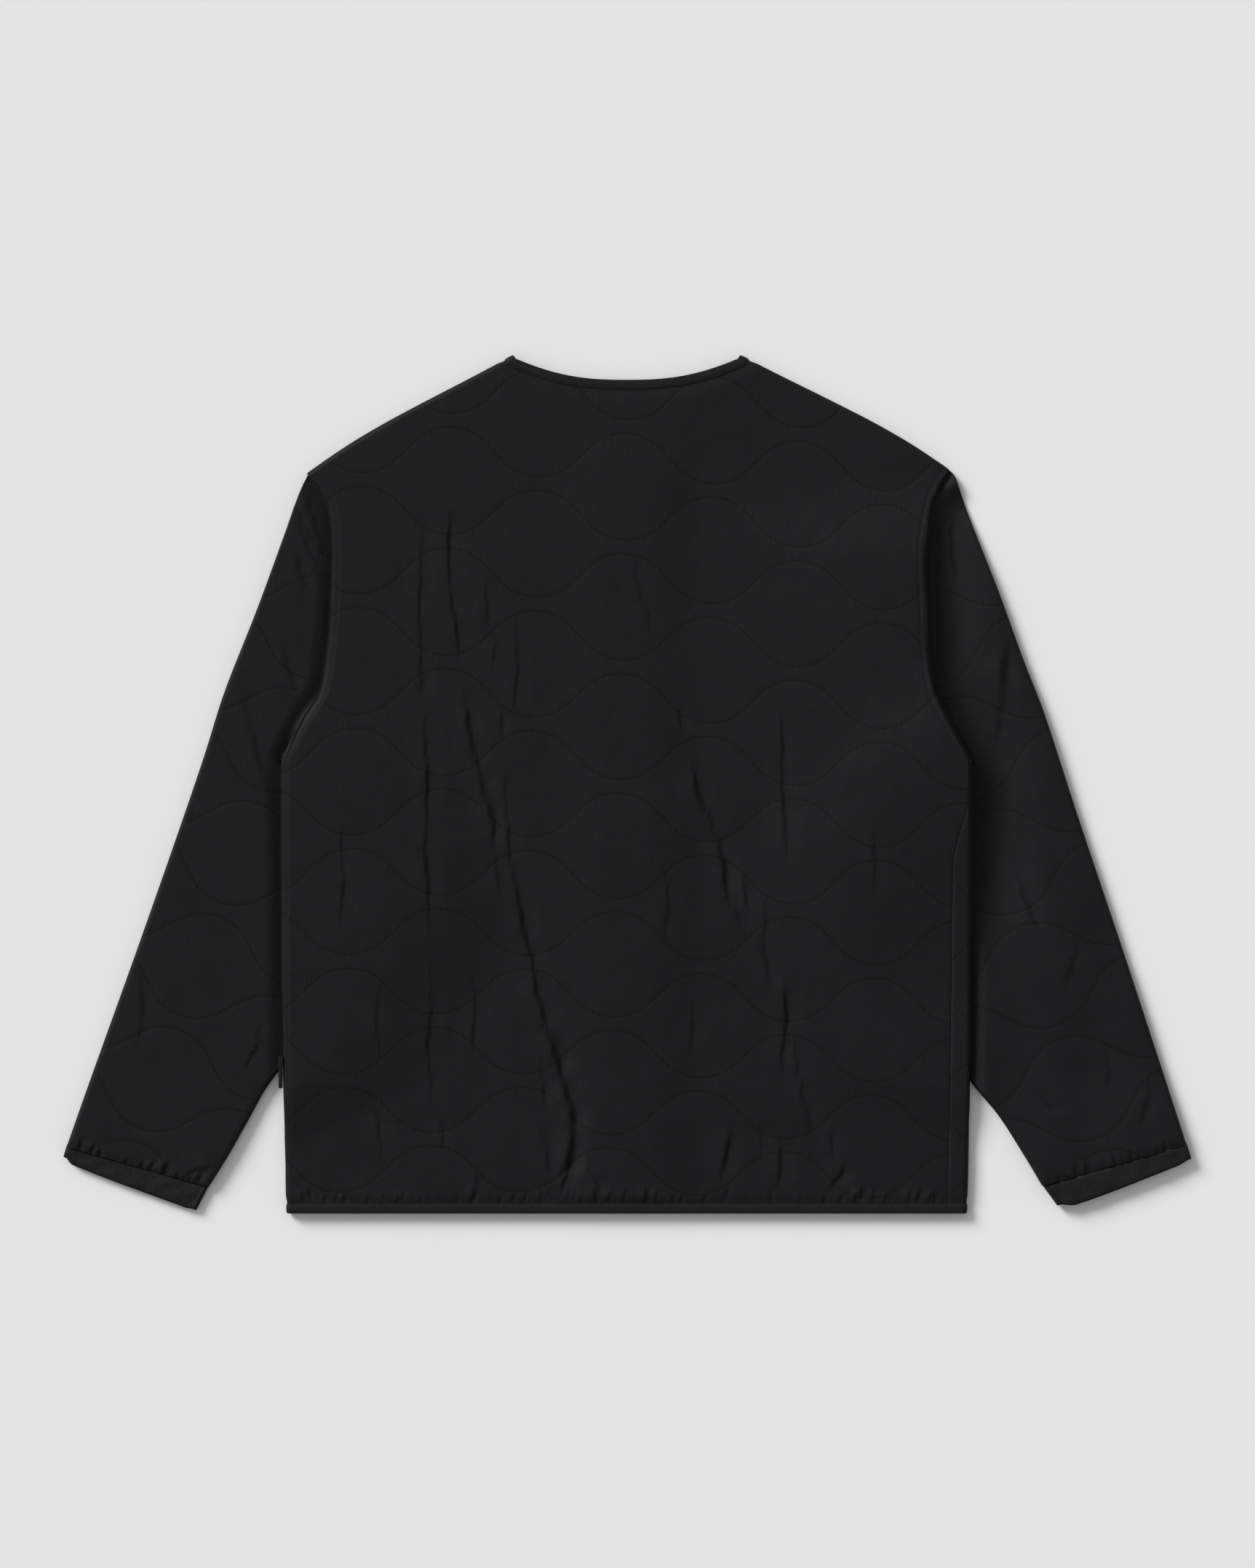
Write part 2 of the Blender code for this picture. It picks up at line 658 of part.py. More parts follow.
def binding(name, frames):
    """A strip folded round an edge: a U-shaped section carried along the edge's frames."""
    slot = PRESSED / 2 + TAPE_GAP
    half = slot + TAPE_WALL
    nose = TAPE_SLACK + TAPE_WALL
    section = (
        (-TAPE_COVER, half), (nose - 0.5, half), (nose, half - 0.5), (nose, 0.5 - half),
        (nose - 0.5, -half), (-TAPE_COVER, -half), (-TAPE_COVER, -slot), (TAPE_SLACK, -slot),
        (TAPE_SLACK, slot), (-TAPE_COVER, slot),
    )
    places = []
    for k, (middle, facing, inward, along_fold) in enumerate(frames):
        outs = [-inward.normalized()] if along_fold else []
        for a, b in ((k - 1, k), (k, k + 1)):
            if 0 <= a and b < len(frames) and not along_fold:
                run = (frames[b][0] - frames[a][0]).normalized()
                outs.append((inward.dot(run) * run - inward).normalized())
        out = sum(outs, Vector((0, 0, 0))).normalized()
        normal = (facing - facing.dot(out) * out).normalized()
        out = out / max(min(out.dot(beside) for beside in outs), 0.7)
        places.append([middle + out * reach + normal * rise for reach, rise in section])

    builder = bmesh.new()
    rows = len(places) - 1
    bmesh.ops.create_grid(builder, x_segments=len(section), y_segments=rows, size=0.5)
    for vertex in builder.verts:
        i = round((vertex.co.x + 0.5) * len(section)) % len(section)
        j = round((vertex.co.y + 0.5) * rows)
        vertex.co = places[j][i] * MM
    bmesh.ops.remove_doubles(builder, verts=builder.verts, dist=1e-7)
    open_edges = [edge for edge in builder.edges if edge.is_boundary]
    bmesh.ops.holes_fill(builder, edges=open_edges, sides=0)
    bmesh.ops.recalc_face_normals(builder, faces=builder.faces)
    return new_object(name, builder, "binding_tape")


def front_frame(side, i, j, step_in, along_fold=False):
    def place(i, j, face):
        return front_point(side, i, j, face)

    return edge_frame(place, i, j, step_in, along_fold)


def make_edge_binding():
    """One strip up the right front, round the neck and down the left front."""
    def front_run(side):
        last = front_fold(side) + FRONT_ACROSS
        corner = front_fold(side) + SIDE_STEPS
        notch = STRAIGHT_ROWS + NOTCH_ROW
        up = [front_frame(side, last, j, (-1, 0)) for j in range(1, notch)]
        turn = [front_frame(side, last, notch, (-1, -1))]
        lower_neck = [front_frame(side, i, notch, (0, -1)) for i in range(last - 1, corner, -1)]
        middle = [front_frame(side, corner, notch, (-1, -1))]
        upper_neck = [front_frame(side, corner, j, (-1, 0)) for j in range(notch + 1, FLAT_ROWS)]
        fold = [front_frame(side, corner, j, (-1, 0), True) for j in range(FLAT_ROWS, ALL_ROWS + 1)]
        return up + turn + lower_neck + middle + upper_neck + fold

    right = BACK_FOLD + SIDE_STEPS + NECK_STEPS
    left = BACK_FOLD + SIDE_STEPS
    folds = range(ALL_ROWS, FLAT_ROWS - 1, -1)
    rise = [edge_frame(back_point, right, j, (1, 0), True) for j in folds]
    neck = [edge_frame(back_point, i, FLAT_ROWS, (0, -1)) for i in range(right - 1, left, -1)]
    fall = [edge_frame(back_point, left, j, (-1, 0), True) for j in reversed(folds)]
    return binding("edge_binding", front_run("right") + rise + neck + fall + front_run("left")[::-1])


def make_hem_binding():
    """One strip from the left lap, round the left fold, across the back to the right lap."""
    up = (0, 1)
    left_last = front_fold("left") + FRONT_ACROSS
    right_last = front_fold("right") + FRONT_ACROSS
    left = [front_frame("left", i, 0, up) for i in range(left_last, 0, -1)]
    back = [edge_frame(back_point, i, 0, up) for i in range(BACK_FOLD + BACK_ACROSS + 1)]
    right = [front_frame("right", i, 0, up) for i in range(1, right_last + 1)]
    return binding("hem_binding", left + back + right)


# ---------------------------------------------------------------- snaps and tab

def make_snap(number):
    """A fastened snap in three pieces: below, between and above the two lapped fronts."""
    y = SNAP_TOP_Y - (number - 1) * SNAP_PITCH
    for part in SNAP_PARTS:
        builder = bmesh.new()
        bmesh.ops.create_cone(
            builder, segments=16, radius1=part["radius"] * MM, radius2=part["radius"] * MM,
            depth=part["thick"] * MM, cap_ends=True,
        )
        made = new_object(f"{part['name']}_{number}", builder, "snap_metal")
        made.location = (0, y * MM, (part["low"] + part["thick"] / 2) * MM)


def make_side_tab():
    """A short folded tab that stands out of the left side seam."""
    x = -side_fold(TAB_Y) - SEAM_GAP
    z = underside(x, TAB_Y) + BODY_HALF
    builder = bmesh.new()
    bmesh.ops.create_cube(builder, size=1)
    bmesh.ops.scale(builder, verts=builder.verts, vec=Vector((TAB_REACH, TAB_LENGTH, 2.0)) * MM)
    bmesh.ops.translate(
        builder, verts=builder.verts, vec=Vector((x - TAB_REACH / 2, TAB_Y, z)) * MM
    )
    outer = [
        edge for edge in builder.edges
        if all(v.co.x < (x - TAB_REACH / 2) * MM for v in edge.verts)
        and abs(edge.verts[0].co.z - edge.verts[1].co.z) < 0.1 * MM
    ]
    bmesh.ops.bevel(
        builder, geom=outer, offset=0.8 * MM, offset_type="OFFSET", segments=2, profile=0.5,
        affect="EDGES", material=-1,
    )
    return new_object("side_tab", builder, "tab_tape")


# ---------------------------------------------------------------- build

def clear_scene():
    for made in list(bpy.data.objects):
        bpy.data.objects.remove(made, do_unlink=True)


def main():
    clear_scene()
    make_back()
    for side in SIDES:
        make_front(side)
        make_sleeve(side)
        make_cuff(side)
    make_edge_binding()
    make_hem_binding()
    for number in range(1, SNAP_COUNT + 1):
        make_snap(number)
    make_side_tab()


main()
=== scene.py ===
"""The quilted jacket's looks: fine cloth, quilting, creases, stitches, bindings and light.

Sizes below are in millimetres and MM turns them into metres. The jacket lies with its back up,
+X is the wearer's right and +Y is towards the neck.
"""

import math
import random

import bmesh
import bpy
import numpy as np
from mathutils import Matrix, Vector


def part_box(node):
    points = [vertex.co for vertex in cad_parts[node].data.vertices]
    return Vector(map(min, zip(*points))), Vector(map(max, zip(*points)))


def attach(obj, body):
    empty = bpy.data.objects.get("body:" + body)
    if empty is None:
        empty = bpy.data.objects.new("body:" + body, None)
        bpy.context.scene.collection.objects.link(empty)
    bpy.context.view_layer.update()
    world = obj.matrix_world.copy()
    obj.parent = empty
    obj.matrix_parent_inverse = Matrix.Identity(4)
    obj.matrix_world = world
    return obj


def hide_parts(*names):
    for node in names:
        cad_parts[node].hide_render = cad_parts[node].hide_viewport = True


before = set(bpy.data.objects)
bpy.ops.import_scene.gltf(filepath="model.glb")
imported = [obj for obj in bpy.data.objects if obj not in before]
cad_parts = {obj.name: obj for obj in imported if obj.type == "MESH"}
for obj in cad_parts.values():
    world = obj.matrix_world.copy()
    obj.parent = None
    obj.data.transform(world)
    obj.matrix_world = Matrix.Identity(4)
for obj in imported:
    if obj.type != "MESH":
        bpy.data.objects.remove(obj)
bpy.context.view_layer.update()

MM = 0.001

# ---------------------------------------------------------------- sizes of the cut

WALL = 3.0              # shell, wadding and backing
PRESSED = 1.0           # the wall where a binding holds it flat
SEAM_GAP = 0.3
BODY_HALF = 4.4
SLEEVE_HALF = 3.8
HEM_Y = -352.8
UNDERARM_Y = 20.0
FOLD_X = 284.6
HEM_X = 280.6
WRAP = 17.0             # the right front's share of the top
WRAP_FULL_Y = -70.0
SEAM_TURNS_Y = -8.0      # above it the side seam keeps to the fold
SHOULDER_BULGE = 4.5
NECK_X = 95.0
NECK_Y = 353.4
BACK_NECK_DROP = 21.5
FRONT_NECK_DROP = 118.0
LAP = 15.0
LAP_SPREAD = 13.0
LAP_REACH = LAP - 1.1
OVER_LAP_RISE = 1.1
UNDER_LAP_RISE = 4.4
RIDGE_RISE = 2.2
RIDGE_SPREAD = 48.0
RIDGE_END = 40.0
RIDGE_FADE = 70.0
CUFF_HALF = 3.4
SIDES = {"left": -1, "right": 1}

# Each row is a place on the seam or the fold, as x and y
ARMHOLE = {
    "right": ((267.0, 259.5), (254.4, 237.5), (247.6, 210.0), (245.2, 180.0), (246.2, 155.0),
              (248.4, 106.0), (253.0, 77.5), (263.0, 55.0), (275.5, 34.0), (284.6, 20.0)),
    "left": ((-265.2, 256.0), (-255.0, 246.5), (-246.0, 227.7), (-243.2, 200.0), (-243.0, 170.0),
             (-244.4, 138.0), (-247.0, 110.7), (-253.0, 77.0), (-267.0, 54.0), (-284.6, 20.0)),
}
SLEEVE_OUTER = {
    "right": ((267.0, 259.5), (274.0, 251.5), (284.4, 220.5), (308.4, 157.0), (328.2, 101.0),
              (345.0, 57.3), (372.0, -26.0), (409.2, -137.5), (442.8, -240.3), (461.0, -296.8)),
    "left": ((-265.2, 256.0), (-274.0, 236.0), (-284.4, 205.5), (-307.0, 141.0), (-333.0, 73.5),
             (-348.8, 23.0), (-368.0, -34.0), (-405.0, -140.0), (-443.6, -248.0), (-461.4, -298.6)),
}
SLEEVE_INNER = {
    "right": ((284.6, 20.0), (250.0, -4.0), (207.0, -50.0), (202.0, -100.0), (224.0, -150.0),
              (284.0, -246.0), (306.6, -274.0), (328.2, -308.0), (342.4, -332.0)),
    "left": ((-284.6, 20.0), (-250.0, -4.0), (-207.0, -50.0), (-202.0, -100.0), (-224.0, -150.0),
             (-291.5, -243.0), (-299.0, -254.0), (-313.4, -280.3), (-328.2, -306.5), (-344.6, -333.0)),
}
CUFF_EDGE = {           # from the outer fold to the inner fold
    "right": ((465.3, -308.6), (456.5, -313.6), (368.0, -347.0), (354.5, -347.2)),
    "left": ((-464.4, -307.6), (-459.5, -313.0), (-361.8, -349.5), (-354.6, -351.0)),
}
# The body is fully lifted outside x and flat on the floor a ramp's width inside it
LIFT_Y = (-353, -300, -262, -246, -150, -100, -50, -4, 20, 47, 90, 130)
LIFT_X = (400, 384, 300, 268, 206, 186, 188, 224, 246, 276, 330, 392)
LIFT_RAMP = 110.0
LIFT_HIGH = 5.0         # over a sleeve that the body's weight presses flat

# Quilting: rows of a wave, every other row turned over, so that the cells are onion shapes
WAVE = 145.4
ROW_PITCH = 49.2
ARC_RADIUS = 42.0       # of the wave's crests, joined by straights at 45 degrees
ARC_REACH = ARC_RADIUS * math.sin(math.pi / 4)
ARC_DROP = ARC_RADIUS - ARC_REACH
WAVE_RISE = ARC_DROP + WAVE / 4 - ARC_REACH
STITCH_PITCH = 2.6
# Where a crest's foot lies on a row's middle line, how far the rows turn, and how much a panel's
# cloth stretches or draws in along its rows and across them. The back's and the sleeves' numbers
# come from a search for the best match, and aren't chosen by hand.
QUILTING = {
    "back": {"x": 0.9, "y": 269.1, "turn": -1.53, "stretch": (1.0, 1.0)},
    "front_left": {"x": -30.0, "y": 250.0, "turn": 1.2, "stretch": (1.0, 1.0)},
    "front_right": {"x": 44.0, "y": 262.0, "turn": -1.4, "stretch": (1.0, 1.0)},
    "sleeve_right": {"x": 334.3, "y": -135.4, "turn": 19.0, "stretch": (1.005, 0.993)},
    "sleeve_left": {"x": -344.1, "y": -126.3, "turn": -18.15, "stretch": (0.998, 1.007)},
}

# How far the laid cloth has slipped from its flat cut, along its rows and then across them. Each
# number goes with one of 1, x, y, x², xy, y² and x³, in steps of SLIP_SPAN. They are the rounded
# result of a least-squares fit, and aren't chosen by hand.
SLIP_SPAN = 250.0
SLIP = {
    "back": ((0.4, -1.2, -0.6, -3.5, -1.3, -0.8, -2.0), (-0.6, -1.6, -0.8, -2.0, -2.3, 1.5, 2.5)),
    "sleeve_right": ((-5.1, 3.2, 1.9, 0, 0, 0, 0), (11.0, -7.3, -0.6, 0, 0, 0, 0)),
    "sleeve_left": ((3.4, -0.5, 5.9, 0, 0, 0, 0), (5.1, 4.8, -2.7, 0, 0, 0, 0)),
}

# Lattice steps
FOLD = 8                # in a quarter turn
ACROSS = 456            # columns of the back, a third of them along the neck
HEM_ZONE = 34.0

# Creases of the back: the width of the steep flank, then a path going down
BACK_CREASES = (
    (1.7, ((-146, 231), (-147, 173), (-142, 135), (-136, 97))),
    (2.6, ((-136, 80), (-131, 52), (-126, 28), (-118, -4), (-110, -31), (-109, -61))),
    (1.3, ((-109, -50), (-106, -84), (-100, -104))),
    (1.5, ((-101, 12), (-99, -30), (-95, -75))),
    (3.0, ((-95, -62), (-88, -105), (-79, -142), (-74, -172), (-68, -195), (-62, -214))),
    (5.2, ((-66, -200), (-59, -223), (-50, -252), (-44, -276), (-44, -292))),
    (4.4, ((-43, -278), (-46, -304), (-54, -320), (-62, -328))),
    (2.0, ((-45, -300), (-50, -320), (-55, -340))),
    (2.0, ((-35, -306), (-27, -325), (-20, -342))),
    (1.3, ((-168, 211), (-171, 160), (-170, 115), (-169, 64))),
    (1.8, ((-167, 62), (-164, 0), (-166, -54), (-163, -96), (-163, -130))),
    (1.3, ((-163, -138), (-161, -175), (-164, -215), (-160, -268))),
    (1.5, ((-115, 173), (-116, 150), (-114, 126))),
    (1.3, ((-110, 118), (-109, 93))),
    (1.3, ((-105, 61), (-102, 40))),
    (1.4, ((4, 186), (9, 163), (17, 138), (22, 121))),
    (1.5, ((38, 64), (44, 49), (50, 36))),
    (2.7, ((51, 24), (61, -15), (72, -36), (78, -59), (83, -96), (95, -115), (104, -126))),
    (1.6, ((94, -74), (98, -92), (101, -109))),
    (1.4, ((104, -124), (115, -150), (121, -172))),
    (1.8, ((127, 61), (128, 8), (128, -12), (131, -40), (131, -73))),
    (1.3, ((112, -88), (114, -118), (111, -146))),
    (2.5, ((130, -158), (131, -191), (128, -222), (128, -243))),
    (1.9, ((137, -206), (141, -230), (138, -246))),
    (2.6, ((142, -240), (145, -262), (152, -280), (147, -291))),
    (3.0, ((86, -280), (82, -302), (76, -333))),
    (1.4, ((110, -287), (112, -306))),
    (2.2, ((125, -288), (126, -316), (124, -344))),
    (1.5, ((167, -284), (170, -306))),
    (2.6, ((180, -309), (175, -322), (164, -337))),
    (1.6, ((243, -333), (235, -346))),
    (1.2, ((-205, -165), (-206, -198), (-203, -230))),
    (1.6, ((-207, -268), (-204, -292), (-200, -312))),
    (1.6, ((-71, -222), (-70, -244), (-67, -268))),
    (1.5, ((-72, -280), (-66, -306), (-61, -328))),
    (1.2, ((-154, -274), (-151, -300))),
    (1.6, ((-126, -322), (-118, -346))),
    (1.2, ((-236, -30), (-233, -74), (-236, -120))),
    (1.2, ((-128, -150), (-125, -190), (-128, -230))),
    (1.1, ((-92, 140), (-90, 90), (-94, 52))),
    (1.1, ((30, -60), (34, -100), (31, -132))),
    (1.1, ((52, -170), (54, -204), (50, -226))),
    (1.1, ((200, -30), (204, -62), (201, -96))),
)
CREASE_STEEP = 0.78     # a crease's height over its steep flank's width
CREASE_TOP = 0.5        # the share of it that stands up, and the share that sinks
CREASE_LOW = -0.7
CREASE_WEST = 17.0      # how far its gentle side reaches
CREASE_EAST = 15.0


# ---------------------------------------------------------------- curves and blends

def smooth(share):
    """0 to 1 with level ends."""
    share = np.clip(share, 0.0, 1.0)
    return share * share * (3 - 2 * share)


def mix(a, b, share):
    return a + (b - a) * share


def lerp(a, b, share):
    """Between places a and b, one for each share."""
    share = np.asarray(share, float)[..., None]
    return np.asarray(a, float) * (1 - share) + np.asarray(b, float) * share


def on_curve(points, share):
    """The places at shares of the way along a smooth curve through the points."""
    points = np.asarray(points, float)
    lengths = np.linalg.norm(np.diff(points, axis=0), axis=1)
    ends = np.cumsum(lengths)
    way = np.asarray(share, float) * ends[-1]
    k = np.minimum(np.searchsorted(ends, way), len(lengths) - 1)
    t = ((way - (ends - lengths)[k]) / lengths[k])[..., None]
    padded = np.vstack([2 * points[0] - points[1], points, 2 * points[-1] - points[-2]])
    spans = np.linalg.norm(np.diff(padded, axis=0), axis=1)
    a, b = points[k], points[k + 1]
    pull_a = (b - padded[k]) * (lengths[k] / (spans[k + 1] + spans[k]))[..., None]
    pull_b = (padded[k + 3] - a) * (lengths[k] / (spans[k + 1] + spans[k + 2]))[..., None]
    return (
        a * (2 * t**3 - 3 * t**2 + 1) + pull_a * (t**3 - 2 * t**2 + t)
        + b * (3 * t**2 - 2 * t**3) + pull_b * (t**3 - t**2)
    )


def along(path, pitch):
    """Places at an even pitch along a line of close points, and its direction there."""
    lengths = np.linalg.norm(np.diff(path, axis=0), axis=1)
    ends = np.concatenate([[0.0], np.cumsum(lengths)])
    way = np.arange(pitch / 2, ends[-1], pitch)
    places = np.stack([np.interp(way, ends, path[:, axis]) for axis in (0, 1)], axis=1)
    ahead = np.stack([np.interp(way + 0.5, ends, path[:, axis]) for axis in (0, 1)], axis=1)
    behind = np.stack([np.interp(way - 0.5, ends, path[:, axis]) for axis in (0, 1)], axis=1)
    run = ahead - behind
    return places, run / np.maximum(np.linalg.norm(run, axis=1), 1e-9)[:, None]


def distance_to(path, x, y):
    """How far places are from a line of close points."""
    best = np.full(np.shape(x), 1e9)
    for point in path:
        best = np.minimum(best, (x - point[0]) ** 2 + (y - point[1]) ** 2)
    return np.sqrt(best)


def patch(bottom, top, start, end, corners, u, v):
    """Places of the surface stretched between four edges. u goes across and v goes up."""
    low = lerp(corners[0], corners[1], u)
    high = lerp(corners[2], corners[3], u)
    u, v = u[:, None], v[:, None]
    return bottom * (1 - v) + top * v + start * (1 - u) + end * u - low * (1 - v) - high * v


def waves(x, y, seed, length, count=5):
    """Slow undulation between about -1 and 1, from a few crossing waves."""
    draw = random.Random(seed)
    total = np.zeros(np.shape(x))
    for _ in range(count):
        angle, phase = draw.uniform(0, math.pi), draw.uniform(0, 2 * math.pi)
        scale = 2 * math.pi / (length * draw.uniform(0.7, 1.5))
        total += np.sin(scale * (x * math.cos(angle) + y * math.sin(angle)) + phase)
    return total / math.sqrt(count)


# ---------------------------------------------------------------- the body's outline

def underside(x, y):
    """Height of the body's underside above the floor."""
    return LIFT_HIGH * smooth((np.abs(x) - np.interp(y, LIFT_Y, LIFT_X) + LIFT_RAMP) / LIFT_RAMP)


def side_fold(y):
    """x of the right side fold."""
    share = np.clip((UNDERARM_Y - y) / (UNDERARM_Y - HEM_Y), 0, 1)
    return mix(FOLD_X, HEM_X, share**2)


def right_seam(y):
    """x of the right side seam, which lies on top of the body."""
    inward = mix(BODY_HALF, WRAP, smooth((SEAM_TURNS_Y - y) / (SEAM_TURNS_Y - WRAP_FULL_Y)))
    return side_fold(y) - inward


def armhole(side, share):
    """The armhole seam from the underarm, 0, to the shoulder, 1."""
    return on_curve(ARMHOLE[side][::-1], share)


def shoulder(side, share):
    """The shoulder fold from its tip, 0, to the neck's corner, 1."""
    share = np.asarray(share, float)
    corner = (SIDES[side] * NECK_X, NECK_Y)
    line = lerp(ARMHOLE[side][0], corner, share)
    line[..., 1] += SHOULDER_BULGE * 6.75 * share * (1 - share) ** 2
    return line


def shoulder_normal(side):
    run = shoulder(side, 1.0) - shoulder(side, 0.0)
    normal = np.array((SIDES[side] * abs(run[1]), abs(run[0])))
    return normal / np.linalg.norm(normal)


def shoulder_inset(side):
    return -shoulder_normal(side) * BODY_HALF


def armhole_edge(side, share):
    """The body's edge at the armhole."""
    share = np.asarray(share, float)
    inward = -SIDES[side] * (SEAM_GAP / 2 + 1.6 * share**8 + BODY_HALF * (1 - share) ** 6)
    edge = armhole(side, share) + shoulder_inset(side) * (share**8)[..., None]
    edge[..., 0] += inward
    return edge


def back_neck(share):
    """The back neck's edge from left, 0, to right, 1."""
    share = np.asarray(share, float)
    flat = np.abs(2 * share - 1) ** 2.6
    return np.stack([mix(-NECK_X, NECK_X, share), NECK_Y - BACK_NECK_DROP * (1 - flat)], axis=-1)


def front_neck(side, share):
    """The front neck's edge from the corner, 0, down to the lap's edge, 1."""
    angle = np.asarray(share, float) * math.pi / 2
    x = NECK_X - (NECK_X + LAP_REACH) * (1 - np.cos(angle))
    return np.stack([SIDES[side] * x, NECK_Y - FRONT_NECK_DROP * np.sin(angle)], axis=-1)


def neck_edge(side, share):
    """The front neck's edge, with its corner drawn in to the middle of the shoulder's round."""
    share = np.asarray(share, float)
    return front_neck(side, share) + shoulder_inset(side) * ((1 - share) ** 6)[..., None]


def body_edge(side):
    """Close points down the armhole and the side fold to the hem."""
    seam = armhole(side, np.linspace(1, 0, 70))
    y = np.linspace(UNDERARM_Y - 4, HEM_Y, 90)
    return np.vstack([seam, np.stack([SIDES[side] * side_fold(y), y], axis=1)])


# ---------------------------------------------------------------- quilting and creases

def quilt_axes(panel):
    """A panel's quilting origin, the way along its rows and the way across them."""
    spec = QUILTING[panel]
    turn = math.radians(spec["turn"])
    ahead = np.array((math.cos(turn), math.sin(turn)))
    return np.array((spec["x"], spec["y"])), ahead, np.array((-ahead[1], ahead[0]))


def slip(panel, x, y):
    """How far a panel's cloth has slipped at places, in x and y."""
    _, ahead, across = quilt_axes(panel)
    a, b = x / SLIP_SPAN, y / SLIP_SPAN
    terms = (np.ones_like(a), a, b, a * a, a * b, b * b, a**3)
    run, rise = (sum(n * term for n, term in zip(row, terms)) for row in SLIP.get(panel, ((), ())))
    return np.multiply.outer(run, ahead) + np.multiply.outer(rise, across)


def wave_height(u, row):
    """How far above its row's middle line the stitching runs at u, and the slope's cosine."""
    q = np.abs((u + WAVE / 4) % (WAVE / 2) - WAVE / 4)
    half = np.floor((u + WAVE / 4) / (WAVE / 2))
    up = np.where((half + row) % 2 == 0, 1.0, -1.0)
    round_part = np.sqrt(ARC_RADIUS**2 - np.minimum(q, ARC_REACH) ** 2)
    drop = np.where(q < ARC_REACH, ARC_RADIUS - round_part, ARC_DROP + q - ARC_REACH)
    return up * (WAVE_RISE - drop), round_part / ARC_RADIUS


def quilt_distance(panel, x, y):
    """How far places are from the nearest quilting line."""
    origin, ahead, across = quilt_axes(panel)
    wide, tall = QUILTING[panel]["stretch"]
    flat = np.stack([x, y], axis=-1) - slip(panel, x, y) - origin
    u, v = flat @ ahead / wide, flat @ across / tall
    nearest = np.round(v / ROW_PITCH)
    best = np.full(np.shape(x), 1e9)
    for step in (-1, 0, 1):
        row = nearest + step
        height, cosine = wave_height(u, row)
        best = np.minimum(best, np.abs(v - row * ROW_PITCH - height) * cosine)
    return best


def quilt_thin(panel, x, y):
    """The share of its full thickness that the quilting leaves the wall."""
    distance = quilt_distance(panel, x, y)
    return 1 - 0.13 * np.exp(-distance / 2.5) - 0.12 * np.exp(-((distance / 14) ** 2))


def quilt_runs(panel, low, high):
    """The panel's quilting lines as runs of close points over a box in its own turned axes."""
    origin, ahead, across = quilt_axes(panel)
    wide, tall = QUILTING[panel]["stretch"]
    runs = []
    corners = [(x, y) for x in (low[0], high[0]) for y in (low[1], high[1])]
    us = [float((np.array(c) - origin) @ ahead) for c in corners]
    vs = [float((np.array(c) - origin) @ across) for c in corners]
    for row in range(math.floor(min(vs) / ROW_PITCH) - 1, math.ceil(max(vs) / ROW_PITCH) + 2):
        u = np.arange(min(us), max(us), 1.2)
        height, _ = wave_height(u, row)
        v = row * ROW_PITCH + height
        run = origin + u[:, None] * ahead * wide + v[:, None] * across * tall
        runs.append(run + slip(panel, *run.T))
    return runs


def crease_profile(signed, band, west, east):
    """Up the gentle side, down the steep flank round 0, and back up from the hollow beyond."""
    rise = CREASE_TOP * smooth((signed + west + band / 2) / west)
    fall = np.clip((signed + band / 2) / band, 0, 1)
    fall = mix(CREASE_TOP, CREASE_LOW, mix(fall, smooth(fall), 0.4))
    back = CREASE_LOW * (1 - smooth((signed - band / 2) / east))
    return np.where(signed < -band / 2, rise, np.where(signed < band / 2, fall, back))


def crease_lift(x, y, creases, west=CREASE_WEST, east=CREASE_EAST):
    """The lift of creases, each with a gentle and a steep flank."""
    lift = np.zeros(np.shape(x))
    for band, path in creases:
        path = np.asarray(path, float)
        lengths = np.linalg.norm(np.diff(path, axis=0), axis=1)
        total = lengths.sum()
        reach = min(west, 0.45 * total)
        margin = reach + band + 2
        low, high = path.min(axis=0) - margin, path.max(axis=0) + margin
        near = (x > low[0]) & (x < high[0]) & (y > low[1]) & (y < high[1])
        if not near.any():
            continue
        px, py = x[near], y[near]
        best = np.full(px.shape, 1e9)
        signed, way = np.zeros(px.shape), np.zeros(px.shape)
        for k, (a, b) in enumerate(zip(path, path[1:])):
            run = b - a
            t = ((px - a[0]) * run[0] + (py - a[1]) * run[1]) / lengths[k] ** 2
            t = np.clip(t, 0, 1)
            gx, gy = px - a[0] - t * run[0], py - a[1] - t * run[1]
            gap = np.hypot(gx, gy)
            closer = gap < best
            best = np.where(closer, gap, best)
            signed = np.where(closer, np.sign(run[0] * gy - run[1] * gx) * gap, signed)
            way = np.where(closer, lengths[:k].sum() + t * lengths[k], way)
        ends = smooth(way / min(0.4 * total, 24.0)) * smooth((total - way) / min(0.4 * total, 24.0))
        phase = path[0, 0] * 0.7 + path[0, 1] * 0.3
        signed = signed + 0.5 * np.sin(way / 3.1 + phase) + 0.5 * np.sin(way / 7.3 + 2 * phase)
        wide = band * (0.8 + 0.25 * np.sin(way / 11.0 + phase) + 0.12 * np.sin(way / 4.0))
        profile = crease_profile(signed, wide, reach, min(east, 0.4 * total))
        lift[near] += CREASE_STEEP * wide * ends * profile
    return lift


